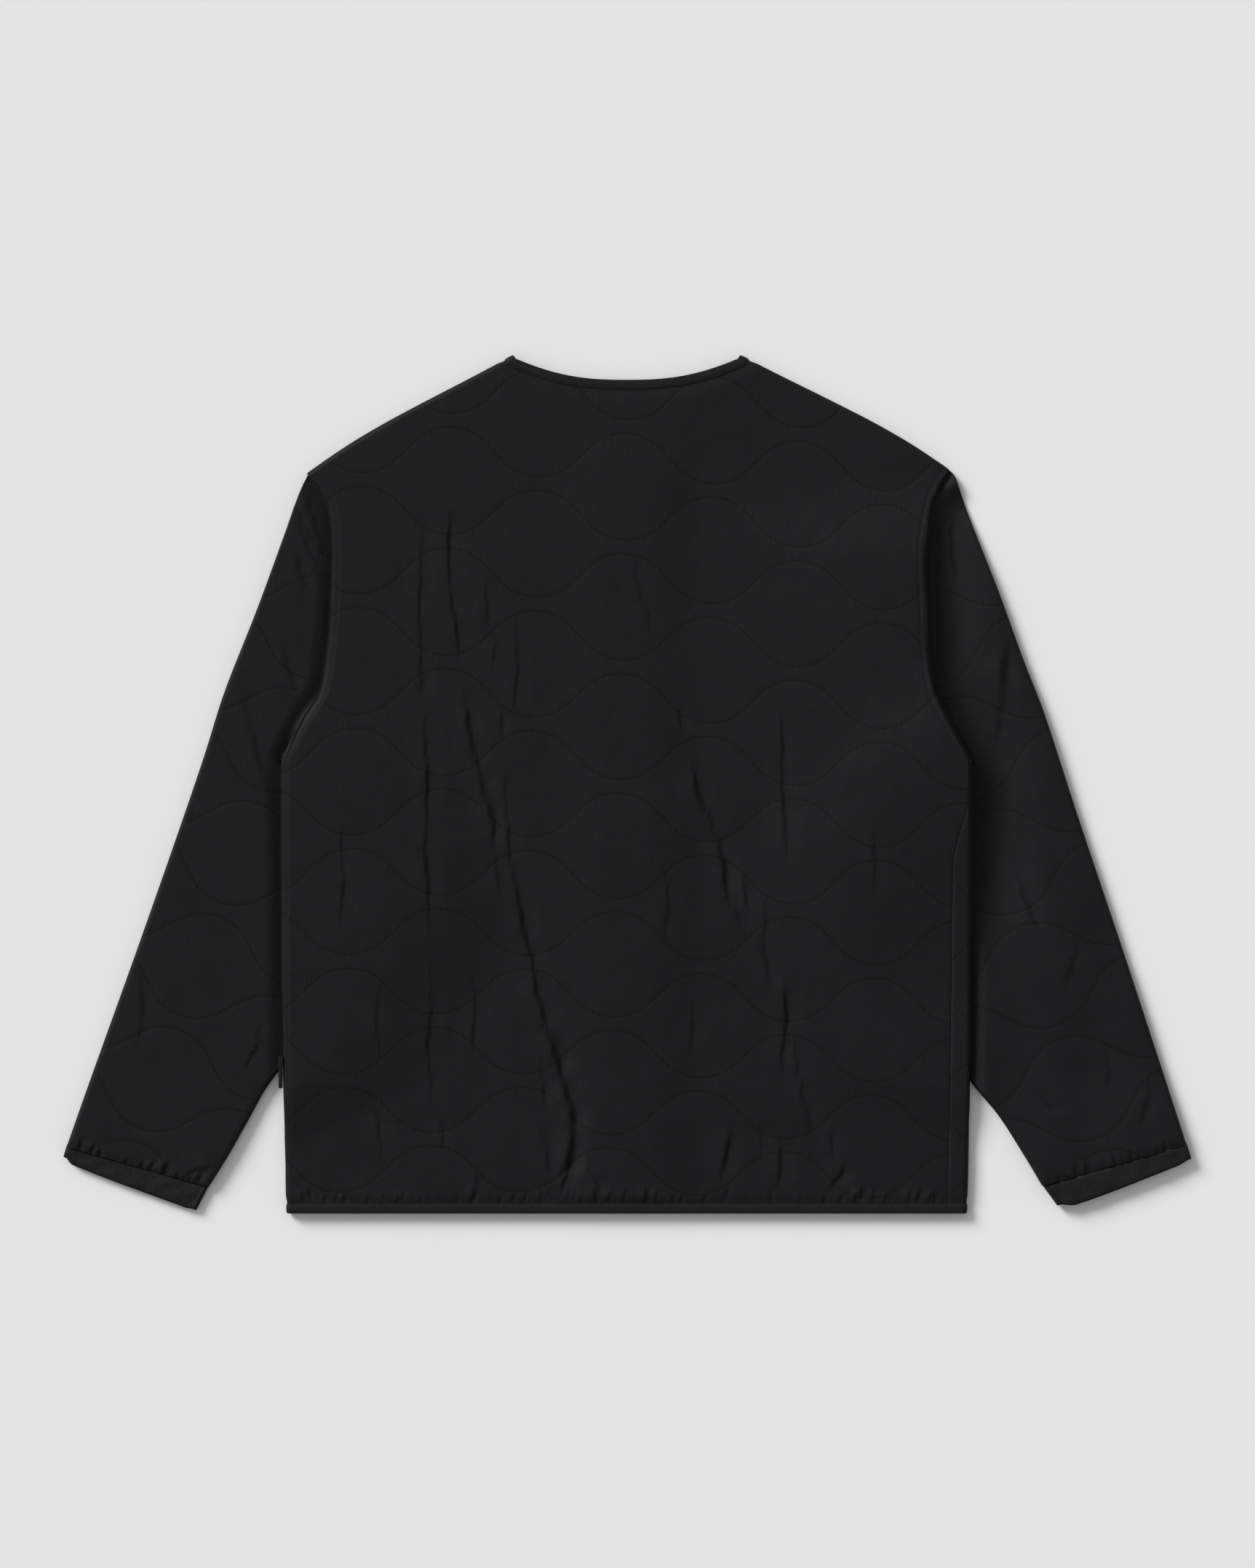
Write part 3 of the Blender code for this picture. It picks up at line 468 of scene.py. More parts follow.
def gathers(seed, start, end, base, length, lean, bold=1.0):
    """Short uneven ridges that stand on a seam, from start to end along it.

    base(way) gives a place on the seam and its direction, length is the longest ridge and lean
    how far a ridge slants along the seam.
    """
    draw = random.Random(seed)
    ridges = []
    way = start + draw.uniform(2, 10)
    while way < end:
        place, run = base(way)
        up = np.array((-run[1], run[0]))
        reach = draw.uniform(0.35, 1.0) * length
        slant = draw.uniform(-0.2, 1.0) * lean
        tip = place + up * reach + run * slant * reach
        ridges.append((draw.uniform(0.9, 2.0) * bold, (tuple(tip), tuple(place - up * 3))))
        way += draw.choice((5, 7, 10, 14, 20)) * draw.uniform(0.7, 1.2)
    return ridges


HEM_GATHERS = gathers(
    4, -276, 262, lambda way: (np.array((way, HEM_Y + 8.0)), np.array((1.0, 0.0))), 15.0, 0.7
)
EDGES = {side: body_edge(side) for side in SIDES}
ROLL = {"left": 9.0, "right": 3.5}     # how wide the body rounds down to its edge
STAND = {"left": 0.6, "right": 11.0}     # how far the edge stands over its plain level
STAND_REACH = 220.0     # how far in from the edge it starts to rise
STANDS = {"start": -170.0, "grows": 190.0, "end": 262.0, "fades": 80.0}


def between(y, start, grows, end, fades):
    """One between two places on Y, easing in from the start and out to the end."""
    return smooth((y - start) / grows) * smooth((end - y) / fades)


def body_lift(x, y, bound):
    """The lift of the body's upper side over its plain level. bound is the way to a bound edge."""
    lift = crease_lift(x, y, BACK_CREASES) + crease_lift(x, y, HEM_GATHERS, 9.0, 8.0)
    lift += 0.28 * waves(x, y, 3, 150.0) + 0.06 * waves(x, y, 8, 40.0) + 0.04 * waves(x, y, 9, 17.0)
    across = 1 - smooth((np.abs(x) - LAP - 2) / RIDGE_SPREAD)
    lift += RIDGE_RISE * across * smooth((NECK_Y - RIDGE_END - y) / RIDGE_FADE)
    for side, sign in SIDES.items():
        near = sign * x > 20
        edge = np.full(np.shape(x), 999.0)
        edge[near] = distance_to(EDGES[side], x[near], y[near])
        lift += STAND[side] * between(y, **STANDS) * smooth((STAND_REACH - edge) / STAND_REACH)
        rolled = (1 - smooth(edge / ROLL[side])) ** 2 * smooth((330 - np.abs(y)) / 60)
        if side == "left":
            lift -= (1.2 + 1.6 * smooth((150 - y) / 90)) * rolled
        else:
            lift -= 1.6 * rolled * smooth((y - UNDERARM_Y) / 12)
        lift -= 0.35 * np.exp(-(((edge - 5.8) / 1.3) ** 2)) * smooth((y - UNDERARM_Y) / 14)
    return lift * mix(0.15, 1.0, smooth((bound - 6.5) / 8.0))


def back_field(x, y):
    """The back's lift over its plain level and its wall, at places seen from above."""
    thin = quilt_thin("back", x, y)
    seam = np.abs(x - right_seam(y))
    seamed = np.exp(-((seam / 1.8) ** 2)) * smooth((UNDERARM_Y - 12 - y) / 30)
    neck = distance_to(back_neck(np.linspace(0, 1, 60)), x, y)
    bound = np.minimum(neck, y - HEM_Y + 1.0)
    pressed = smooth((bound - 7.0) / 9.0)
    wall = mix(PRESSED, 3.3 * thin * (1 - 0.25 * seamed), pressed)
    return body_lift(x, y, bound), wall


def back_top(x, y):
    """Height of the back's upper face."""
    lift, wall = back_field(x, y)
    return underside(x, y) + 2 * BODY_HALF - (WALL - wall) / 2 + lift


# ---------------------------------------------------------------- lattices

def cloth_wall(name, columns, rows, kept, place, closed=False, layer=None, step=(1, 1)):
    """A wall of cloth on a lattice of columns and rows.

    kept(i, j) says whether the lattice has the cells up and right of i, j. place(i, j, side)
    gives the points in millimetres and the flat cloth's own coordinates, with side 0 on the
    lining's face and 1 on the outer face. closed joins the last column to the first, layer
    makes that face alone, and step leaves out columns and rows between its own.
    """
    columns, rows = columns // step[0], rows // step[1]
    builder = bmesh.new()
    bmesh.ops.create_grid(builder, x_segments=columns, y_segments=rows, size=0.5)
    bmesh.ops.translate(builder, verts=builder.verts, vec=(0.5, 0.5, 0))
    bmesh.ops.scale(builder, verts=builder.verts, vec=(columns, rows, 1))
    if kept:
        middles = np.array([face.calc_center_median()[:2] for face in builder.faces])
        keep = kept(np.floor(middles[:, 0]) * step[0], np.floor(middles[:, 1]) * step[1])
        unused = [face for face, wanted in zip(list(builder.faces), keep) if not wanted]
        bmesh.ops.delete(builder, geom=unused, context="FACES")
    if layer is None:
        raised = bmesh.ops.extrude_face_region(
            builder, geom=builder.faces[:], use_keep_orig=True
        )
        upper = [made for made in raised["geom"] if isinstance(made, bmesh.types.BMVert)]
        bmesh.ops.translate(builder, verts=upper, vec=(0, 0, 1))
    mesh = bpy.data.meshes.new(name)
    builder.to_mesh(mesh)
    builder.free()

    where = np.empty(len(mesh.vertices) * 3)
    mesh.vertices.foreach_get("co", where)
    i, j, side = np.round(where.reshape(-1, 3)).astype(int).T
    points, flat = place(i * step[0], j * step[1], side if layer is None else side + layer)
    mesh.vertices.foreach_set("co", (points * MM).ravel())
    corners = np.empty(len(mesh.loops), int)
    mesh.loops.foreach_get("vertex_index", corners)
    flat_map = mesh.uv_layers.new(name="cloth")
    flat_map.uv.foreach_set("vector", (flat[corners] * MM).ravel())

    builder = bmesh.new()
    builder.from_mesh(mesh)
    if closed:
        bmesh.ops.remove_doubles(builder, verts=builder.verts, dist=1e-6)
    bmesh.ops.recalc_face_normals(builder, faces=builder.faces)
    builder.to_mesh(mesh)
    builder.free()
    mesh.shade_smooth()
    made = bpy.data.objects.new(name, mesh)
    bpy.context.scene.collection.objects.link(made)
    return made


def body_points(x, y, turn, outward, upward, lift, wall, side):
    """Points of the flattened body's wall. turn goes round a folded edge, 0 is flat."""
    half = np.where(side == 1, wall, -wall) / 2
    radius = BODY_HALF - WALL / 2 + half
    level = underside(x, y) + BODY_HALF
    sine, cosine = np.sin(turn), np.cos(turn)
    return np.stack([
        x + outward[:, 0] * sine * radius,
        y + outward[:, 1] * sine * radius,
        level + upward * cosine * radius + lift * (1 - sine),
    ], axis=1)


# ---------------------------------------------------------------- back

skirt_y = np.concatenate([
    np.linspace(HEM_Y, HEM_Y + HEM_ZONE, 17), np.linspace(HEM_Y + HEM_ZONE, UNDERARM_Y, 75)[1:],
])
SKIRT = len(skirt_y) - 1
arm_share = np.linspace(0, 1, 73)
ARM = len(arm_share) - 1
SHOULDER_COLUMNS = 152
CURL = 30               # rows above the underarm where the back's edge still curls down


def back_top_line():
    """Places along the shoulder folds and the neck, a place for each column."""
    left = shoulder("left", np.linspace(0, 1, SHOULDER_COLUMNS + 1)) + shoulder_inset("left")
    right = shoulder("right", np.linspace(1, 0, SHOULDER_COLUMNS + 1)) + shoulder_inset("right")
    share = np.linspace(0, 1, ACROSS - 2 * SHOULDER_COLUMNS + 1)
    inset = lerp(shoulder_inset("left"), shoulder_inset("right"), share)
    neck = back_neck(share) + inset * (np.abs(2 * share - 1) ** 6)[:, None]
    return np.vstack([left[:-1], neck, right[1:]])


def back_centre(i, j):
    """Places of the back's lattice, seen from above and before its folds are turned."""
    u = np.clip(i - FOLD, 0, ACROSS) / ACROSS
    y = skirt_y[np.clip(j, 0, SKIRT)]
    low = np.stack([mix(BODY_HALF - side_fold(y), right_seam(y) - SEAM_GAP / 2, u), y], axis=1)
    v = arm_share[np.clip(j - SKIRT, 0, ARM)]
    start, end = armhole_edge("left", v), armhole_edge("right", v)
    ends = armhole_edge("left", 0.0), armhole_edge("right", 0.0)
    top = back_top_line()
    corners = (*ends, top[0], top[-1])
    column = top[np.clip(i - FOLD, 0, ACROSS)]
    high = patch(lerp(*ends, u), column, start, end, corners, u, v)
    return np.where((j <= SKIRT)[:, None], low, high)


def back_place(i, j, side):
    centre = back_centre(i, j)
    x, y = centre.T
    lift, wall = back_field(x, y)
    over = np.clip(np.maximum(FOLD - i, i - FOLD - ACROSS), 0, FOLD) / FOLD
    up = np.clip(j - SKIRT - ARM, 0, FOLD) / FOLD
    curl = (1 - arm_share[np.clip(j - SKIRT, 0, ARM)]) ** 6
    turn = np.maximum(over * np.arcsin(curl), up * math.pi / 2)
    normals = np.where((x < 0)[:, None], shoulder_normal("left"), shoulder_normal("right"))
    sideways = np.stack([np.sign(x), np.zeros_like(x)], axis=1)
    outward = np.where((over > 0)[:, None], sideways, normals)
    points = body_points(x, y, turn, outward, 1, lift, wall, side)
    points[:, 2] += np.where(turn > 1.5, SEAM_GAP / 2, 0)
    flat = centre + outward * (turn * BODY_HALF)[:, None]
    return points, flat - slip("back", x, y)


def make_back():
    def kept(i, j):
        u = i - FOLD
        curled = (j < SKIRT + CURL) & ((u < 0) | (j >= SKIRT))
        over_neck = (u >= SHOULDER_COLUMNS) & (u < ACROSS - SHOULDER_COLUMNS)
        flat = (j < SKIRT + ARM) | ~over_neck
        return np.where((u < 0) | (u >= ACROSS), curled, flat)

    columns, rows = ACROSS + 2 * FOLD, SKIRT + ARM + FOLD
    shell = cloth_wall("back_cloth", columns, rows, kept, back_place, layer=1)
    lining = cloth_wall("back_lining", columns, rows, kept, back_place, layer=0, step=(4, 2))
    return shell, lining


# ---------------------------------------------------------------- fronts

FRONT_SIDE = 36         # columns from the armhole to the neck's corner
FRONT_NECK = 30
FRONT_ACROSS = FRONT_SIDE + FRONT_NECK
NOTCH = round(0.62 * ARM)
WRAP_STEPS = 6


def front_fold(side):
    """Columns round a front's side fold: the right one wraps on to the top."""
    return 2 * FOLD + WRAP_STEPS if side == "right" else FOLD


def notch_line(side):
    """Places from the armhole to the middle of the neck's edge and on along its lower half."""
    start = armhole_edge(side, arm_share[NOTCH])
    middle = neck_edge(side, 0.5)
    run = lerp(start, middle, np.linspace(0, 1, FRONT_SIDE + 1))
    return np.vstack([run, neck_edge(side, np.linspace(0.5, 1, FRONT_NECK + 1))[1:]])


def front_centre(side, i, j):
    sign = SIDES[side]
    i = np.clip(i - front_fold(side), 0, FRONT_ACROSS)
    u = i / FRONT_ACROSS
    y = skirt_y[np.clip(j, 0, SKIRT)]
    fold_x = side_fold(y) - BODY_HALF
    low = np.stack([sign * mix(fold_x, -LAP_REACH, u), y], axis=1)

    k = np.clip(j - SKIRT, 0, NOTCH)
    v = k / NOTCH
    line = notch_line(side)
    start, end = armhole_edge(side, 0.0), np.array((-sign * LAP_REACH, UNDERARM_Y))
    corners = (start, end, line[0], line[-1])
    edges = armhole_edge(side, arm_share[k]), lerp(end, line[-1], v)
    middle = patch(lerp(start, end, u), line[i], *edges, corners, u, v)

    u = np.clip(i, 0, FRONT_SIDE) / FRONT_SIDE
    k = np.clip(j - SKIRT, NOTCH, ARM)
    v = (k - NOTCH) / (ARM - NOTCH)
    inset = shoulder_inset(side)
    corners = (line[0], line[FRONT_SIDE], shoulder(side, 0.0) + inset, neck_edge(side, 0.0))
    edges = armhole_edge(side, arm_share[k]), neck_edge(side, 0.5 * (1 - v))
    top = shoulder(side, u) + inset
    high = patch(line[np.clip(i, 0, FRONT_SIDE)], top, *edges, corners, u, v)
    chosen = np.where((j <= SKIRT + NOTCH)[:, None], middle, high)
    return np.where((j <= SKIRT)[:, None], low, chosen)


FRONT_CREASES = {
    side: tuple(
        (1.4 + 0.5 * (k % 3), ((sign * x, y), (sign * x + 3, y - 40), (sign * (x + 5), y - 90)))
        for k, (x, y) in enumerate(((70, 150), (118, 60), (150, -80), (92, -170), (205, -140), (60, -40)))
    )
    for side, sign in SIDES.items()
}


def front_field(side, x, y):
    """A front's lift towards the back and its wall. Its outer face lies on the floor."""
    lift = np.maximum(crease_lift(x, y, FRONT_CREASES[side]), 0) * 0.7
    thin = quilt_thin(f"front_{side}", x, y)
    neck = distance_to(front_neck(side, np.linspace(0, 1, 60)), x, y)
    bound = np.minimum(np.minimum(neck, y - HEM_Y + 1.0), SIDES[side] * x + LAP_REACH + 1)
    lapped = 1 - smooth((SIDES[side] * x - LAP) / LAP_SPREAD)
    wall = mix(PRESSED, WALL * thin, smooth((bound - 7.0) / 9.0) * (1 - lapped))
    return lift * smooth(bound / 30), wall


def wrap_field(x, y):
    """The lift and wall of the strip of right front that lies on top."""
    seamed = np.exp(-(((x - right_seam(y)) / 1.8) ** 2)) * smooth((UNDERARM_Y - 12 - y) / 30)
    bound = y - HEM_Y + 1.0
    wall = 3.3 * quilt_thin("front_right", x, y) * (1 - 0.25 * seamed)
    return body_lift(x, y, bound), mix(PRESSED, wall, smooth((bound - 7.0) / 9.0))


def lap_rise(side, x):
    """The height of a front's underside where the two lap. x is towards its own side."""
    if side == "left":
        return OVER_LAP_RISE * (1 - smooth((x - LAP) / LAP_SPREAD))
    return UNDER_LAP_RISE * (1 - smooth((x - LAP - 3) / (3.6 * LAP_SPREAD)))


STRIP_LOW = 0.14        # how much lower the wrapped strip lies than the back beside it


def front_place(side, i, j, face):
    sign = SIDES[side]
    centre = front_centre(side, i, j)
    fold = np.clip(front_fold(side) - i, 0, None)
    turn = np.clip(fold / FOLD, 0, 2) * math.pi / 2
    wrapped = np.clip(fold - 2 * FOLD, 0, WRAP_STEPS) / WRAP_STEPS
    y = centre[:, 1]
    fold_x = side_fold(y) - BODY_HALF
    seam_x = np.minimum(right_seam(y) + SEAM_GAP / 2, fold_x + 0.2)
    centre[:, 0] = np.where(wrapped > 0, sign * mix(fold_x, seam_x, wrapped), centre[:, 0])
    x = centre[:, 0]
    lift, wall = front_field(side, x, y)
    top_lift, top_wall = wrap_field(x, y)
    top_lift = top_lift - STRIP_LOW * smooth((UNDERARM_Y - y) / 40)
    on_top = turn > math.pi / 2 + 0.01
    wall = np.where(on_top | (fold > 0), top_wall if side == "right" else wall, wall)
    lift = np.where(on_top, top_lift * np.abs(np.cos(turn)), lift * np.cos(np.minimum(turn, math.pi / 2)))
    up = np.clip(j - SKIRT - ARM, 0, FOLD)
    turn = np.where(up > 0, up / FOLD * math.pi / 2, turn)
    outward = np.where((fold > 0)[:, None], (float(sign), 0.0), shoulder_normal(side))
    points = body_points(x, y, turn, outward, -1, np.zeros_like(lift), wall, face)
    points[:, 2] += lift
    flat_part = (fold == 0) & (up == 0)
    points[:, 2] += np.where(flat_part, lap_rise(side, x * sign), 0)
    points[:, 2] -= np.where(flat_part, (WALL - wall) / 2 * (1 - smooth((x * sign - LAP) / LAP_SPREAD)), 0)
    shut = (up == FOLD) | ((fold == FOLD) & (side == "left"))
    points[:, 2] -= np.where(shut, SEAM_GAP / 2, 0)
    points[:, 2] = np.maximum(points[:, 2], 0.0)
    flat = centre + outward * (turn * BODY_HALF)[:, None]
    return points, flat


def make_front(side):
    def kept(i, j):
        u = i - front_fold(side)
        return np.where(u < 0, j < SKIRT, (j < SKIRT + NOTCH) | (u < FRONT_SIDE))

    def place(i, j, face):
        return front_place(side, i, j, face)

    columns = front_fold(side) + FRONT_ACROSS
    return cloth_wall(f"front_{side}_cloth", columns, SKIRT + ARM + FOLD, kept, place)


# ---------------------------------------------------------------- sleeves and cuffs

SLEEVE_ROWS = 200
SLEEVE_TOP = 100        # columns across a sleeve's upper or lower face
TUCK = 2.4              # how far the sleeve's mouth runs under the body's edge


def moved_in(line, distance):
    """An open line moved to its left."""
    run = np.gradient(line, axis=0)
    run /= np.linalg.norm(run, axis=1)[:, None]
    return line + np.stack([-run[:, 1], run[:, 0]], axis=1) * distance


def sleeve_edges(side):
    """The middles of the sleeve's folds, inner and outer, and its mouth and its end."""
    sign = SIDES[side]
    share = np.linspace(0, 1, SLEEVE_ROWS + 1)
    inner = moved_in(on_curve(SLEEVE_INNER[side], share), SLEEVE_HALF * sign)
    outer = moved_in(on_curve(SLEEVE_OUTER[side], share), -SLEEVE_HALF * sign)
    across = np.linspace(0, 1, SLEEVE_TOP + 1)
    mouth = armhole(side, across)
    mouth[:, 0] += sign * (SEAM_GAP / 2 - TUCK * smooth((252 - mouth[:, 1]) / 24))
    mouth += lerp(inner[0] - mouth[0], outer[0] - mouth[-1], across)
    end = lerp(inner[-1], outer[-1], across)
    return inner, outer, mouth, end


SLEEVE_CREASES = {
    "left": (
        (3.0, ((-266, 247), (-262, 226), (-254, 206), (-247, 188))),
        (2.6, ((-274, 228), (-267, 206), (-259, 186), (-252, 168))),
        (1.6, ((-279, 205), (-270, 178), (-258, 150))),
        (1.4, ((-286, 120), (-278, 92), (-268, 66))),
        (1.4, ((-318, 80), (-306, 30), (-292, -10))),
        (2.4, ((-339, -314), (-355, -317), (-371, -327))),
        (1.8, ((-374, -327), (-372, -341))),
        (1.4, ((-300, -190), (-305, -215), (-318, -240))),
        (1.3, ((-402, -150), (-398, -190), (-405, -220))),
    ),
    "right": (
        (1.6, ((270, 240), (266, 205), (272, 160))),
        (2.6, ((313, 124), (311, 96), (308, 66), (305, 30))),
        (1.5, ((258, 250), (255, 225), (252, 195))),
        (1.6, ((318, -60), (326, -92), (344, -130))),
        (1.5, ((371, -128), (366, -150), (357, -176))),
        (1.5, ((392, -214), (397, -234), (394, -256))),
        (1.3, ((330, -250), (350, -268), (372, -276))),
        (1.3, ((430, -235), (428, -262), (420, -285))),
    ),
}


def cuff_base(side):
    """Gives the places along a sleeve's end, for the gathers that stand on it."""
    sign = SIDES[side]
    inner, outer = np.array(SLEEVE_INNER[side][-1]), np.array(SLEEVE_OUTER[side][-1])
    run = (outer - inner) / np.linalg.norm(outer - inner)

    def base(way):
        return inner + run * way, run * sign

    return base


CUFF_GATHERS = {
    side: gathers(9 + sign, 6, 116, cuff_base(side), 13.0, 0.5, 1.5) for side, sign in SIDES.items()
}
MOUTHS = {side: armhole(side, np.linspace(0, 1, 80)) for side in SIDES}
INNERS = {side: on_curve(SLEEVE_INNER[side], np.linspace(0.6, 1, 90)) for side in SIDES}
ENDS = {side: lerp(SLEEVE_INNER[side][-1], SLEEVE_OUTER[side][-1], np.linspace(0, 1, 60)) for side in SIDES}
PRESSED_HALF = 2.2      # half the height of a sleeve under the body
FULL_HALF = 4.4         # and away from the body
VALLEY = 2.6            # height of the right sleeve's upper face in the hollow beside the body
VALLEY_NEAR = 16.0      # the width over which it falls to that
VALLEY_WIDE = 46.0      # and the width beyond, over which it rises again
HOLLOWED = {"start": -210.0, "grows": 150.0, "end": 256.0, "fades": 30.0}
CLIMB = 4.2             # how near the armhole seam the sleeve climbs to it
CLIMB_Y = 30.0          # the climb starts here, just above the underarm
CLIMB_GAP = 3.8         # and stops this far under the body's upper face
SLEEVE_LONG = 604.0     # from the armhole seam to the cuff
END_RISE = {"left": 0.3, "right": 1.5}  # how much fuller it is at the cuff


def sleeve_field(side, x, y):
    """Half the sleeve's height, the lift of its upper face and its wall."""
    mouth = distance_to(MOUTHS[side], x, y)
    end = distance_to(ENDS[side], x, y)
    body = np.abs(x) - side_fold(y)
    beside = np.where(y < UNDERARM_Y, np.maximum(body, 0), mouth)
    level = mix(PRESSED_HALF, FULL_HALF, smooth((beside + 2.6) / 16.0))
    if side == "right":
        seam_level = mix(PRESSED_HALF, 4.0, smooth((y - UNDERARM_Y) / 40))
        fallen = mix(seam_level, VALLEY / 2, smooth(beside / VALLEY_NEAR))
        hollow = mix(fallen, FULL_HALF, smooth((beside - VALLEY_NEAR) / VALLEY_WIDE))
        level = mix(level, hollow, between(y, **HOLLOWED))
    half = level + END_RISE[side] * (1 - smooth(end / 90)) - 0.5 * (1 - smooth(end / 3.0))
    risen = smooth((half - PRESSED_HALF) / 1.5)
    lift = crease_lift(x, y, SLEEVE_CREASES[side]) * smooth(mouth / 8)
    lift += crease_lift(x, y, CUFF_GATHERS[side], 8.0, 7.0)
    lift += (0.4 * waves(x, y, 21 + SIDES[side], 90.0) + 0.1 * waves(x, y, 27, 24.0)) * risen
    lift = lift * np.where(y < UNDERARM_Y, smooth((body + 24) / 24), 1)
    # At the armhole seam the sleeve's cloth climbs to the body's raised edge
    out = np.abs(x) - np.interp(y, MOUTHS[side][:, 1], np.abs(MOUTHS[side][:, 0]))
    joined = (1 - smooth(out / CLIMB)) * smooth((y - CLIMB_Y) / 20)
    near = (joined > 0) & (y > CLIMB_Y)
    climb = underside(x[near], y[near]) + 2 * BODY_HALF + body_lift(x[near], y[near], 99.0)
    lift[near] += np.clip(climb - CLIMB_GAP - 2 * half[near] - lift[near], 0, None) * joined[near]
    inner = distance_to(INNERS[side], x, y)
    lift -= 0.4 * np.exp(-(((inner - 3.2) / 1.2) ** 2)) * smooth((-238 - y) / 12)
    thin = quilt_thin(f"sleeve_{side}", x, y)
    wall = np.minimum(WALL, np.maximum(half - 0.35, 0.5)) * thin
    wall = wall * mix(0.5, 1.0, smooth((end - 0.5) / 7)) * mix(0.6, 1.0, smooth((mouth - 1) / 5))
    return half, lift, wall


def tube_place(edges, columns, rows, field, radius, panel=None):
    """Makes the place function of a flattened tube between its four edges."""
    inner, outer, mouth, end = edges
    corners = (inner[0], outer[0], inner[-1], outer[-1])

    def place(i, j, face):
        round_steps = 2 * FOLD
        lap = i % (2 * columns + 2 * round_steps)
        turn = np.select(
            [lap <= columns, lap < columns + round_steps, lap <= 2 * columns + round_steps],
            [0.0, (lap - columns) / round_steps, 1.0],
            1.0 + (lap - 2 * columns - round_steps) / round_steps,
        ) * math.pi
        step = np.select(
            [lap <= columns, lap < columns + round_steps, lap <= 2 * columns + round_steps],
            [lap, columns, 2 * columns + round_steps - lap], 0,
        )
        u, v = step / columns, j / rows
        centre = patch(mouth[step], end[step], inner[j], outer[j], corners, u, v)
        away = outer[j] - inner[j]
        away /= np.linalg.norm(away, axis=1)[:, None]
        x, y = centre.T
        half, lift, wall = field(x, y)
        cosine, sine = np.cos(turn), np.sin(turn)
        thick = np.where(face == 1, 0.0, np.minimum(wall, half - 0.35))
        spare = np.maximum(np.minimum(WALL, half - 0.35) - wall, 0) / 2
        rise = np.where(face == 1, half - spare, half - spare - thick)
        reach = np.where(face == 1, radius, np.maximum(radius - 2.4, 0.6))
        points = np.stack([
            x + away[:, 0] * sine * reach,
            y + away[:, 1] * sine * reach,
            half + cosine * rise + lift * np.maximum(cosine, 0),
        ], axis=1)
        flat = centre + away * (sine * radius)[:, None]
        return points, flat - slip(panel, x, y) if panel else flat

    return place


def make_sleeve(side):
    edges = sleeve_edges(side)

    def field(x, y):
        return sleeve_field(side, x, y)

    place = tube_place(edges, SLEEVE_TOP, SLEEVE_ROWS, field, SLEEVE_HALF, f"sleeve_{side}")
    columns = 2 * SLEEVE_TOP + 4 * FOLD
    border = np.concatenate([edges[0][::-1], edges[2]])

    def past_by(points):
        """How far places lie past the sleeve's outline, where its underarm corner pushes them."""
        x, y = points[:, 0], points[:, 1]
        return np.interp(y, border[:, 1], np.abs(border[:, 0])) - np.abs(x)

    def is_flat(i):
        lap = i % columns
        return (lap <= SLEEVE_TOP) | ((lap >= SLEEVE_TOP + 2 * FOLD) & (lap <= 2 * SLEEVE_TOP + 2 * FOLD))

    def clipped(i, j, face):
        points, flat = place(i, j, face)
        points[:, 0] += SIDES[side] * np.where(is_flat(i), np.maximum(past_by(points), 0), 0)
        return points, flat

    def kept_by(step):
        def kept(i, j):
            i, j = i.astype(int), j.astype(int)
            gone = is_flat(i) & is_flat(i + step)
            for right, up in ((0, 0), (step, 0), (0, step), (step, step)):
                gone &= past_by(place(i + right, j + up, np.ones(i.shape, int))[0]) > -0.01
            return ~gone
        return kept

    name = f"sleeve_{side}"
    shell = cloth_wall(f"{name}_cloth", columns, SLEEVE_ROWS, kept_by(1), clipped, closed=True, layer=1)
    lining = cloth_wall(
        f"{name}_lining", columns, SLEEVE_ROWS, kept_by(4), clipped, closed=True, layer=0, step=(4, 4)
    )
    return shell, lining


def sleeve_top(side, x, y):
    """Height of the sleeve's upper face."""
    half, lift, wall = sleeve_field(side, x, y)
    spare = np.maximum(np.minimum(WALL, half - 0.35) - wall, 0) / 2
    return 2 * half - spare + lift


CUFF_ROWS = 10
CUFF_TUCK = 1.3         # how far the band starts inside the sleeve
CUFF_TOP = 64
CUFF_FULL = {"left": 3.6, "right": 5.2}    # half the height of the band


def make_cuff(side):
    sign = SIDES[side]
    rim = np.array(CUFF_EDGE[side])
    share = np.linspace(0, 1, CUFF_ROWS + 1)
    start_in = np.array(SLEEVE_INNER[side][-1]) + (0, CUFF_TUCK)
    start_out = np.array(SLEEVE_OUTER[side][-1]) + (0, CUFF_TUCK)
    inner = lerp(start_in, rim[3], share)
    outer = lerp(start_out, rim[0], share)
    run = (start_out - start_in) / np.linalg.norm(start_out - start_in)
    inner, outer = inner + run * CUFF_HALF, outer - run * CUFF_HALF
    across = np.linspace(0, 1, CUFF_TOP + 1)
    rounded = np.array((rim[3], rim[2], rim[1], rim[0]))
    end = on_curve(rounded, across)
    end += lerp(inner[-1] - end[0], outer[-1] - end[-1], across)
    mouth = lerp(inner[0], outer[0], across)
    line = lerp(start_in, start_out, across)

    def field(x, y):
        seam = distance_to(line, x, y)
        rim_gap = distance_to(end, x, y)
        half = CUFF_FULL[side] - 0.7 * (1 - smooth(seam / 2.5)) - 0.3 * (1 - smooth(rim_gap / 2.5))
        lift = 0.35 * waves(x, y, 31 + sign, 16.0) * smooth(seam / 4)
        wall = np.full(np.shape(x), 1.5)
        return half, lift, wall

    place = tube_place((inner, outer, mouth, end), CUFF_TOP, CUFF_ROWS, field, CUFF_HALF)
    return cloth_wall(f"cuff_{side}_band", 2 * CUFF_TOP + 4 * FOLD, CUFF_ROWS, None, place, closed=True)


# ---------------------------------------------------------------- bindings

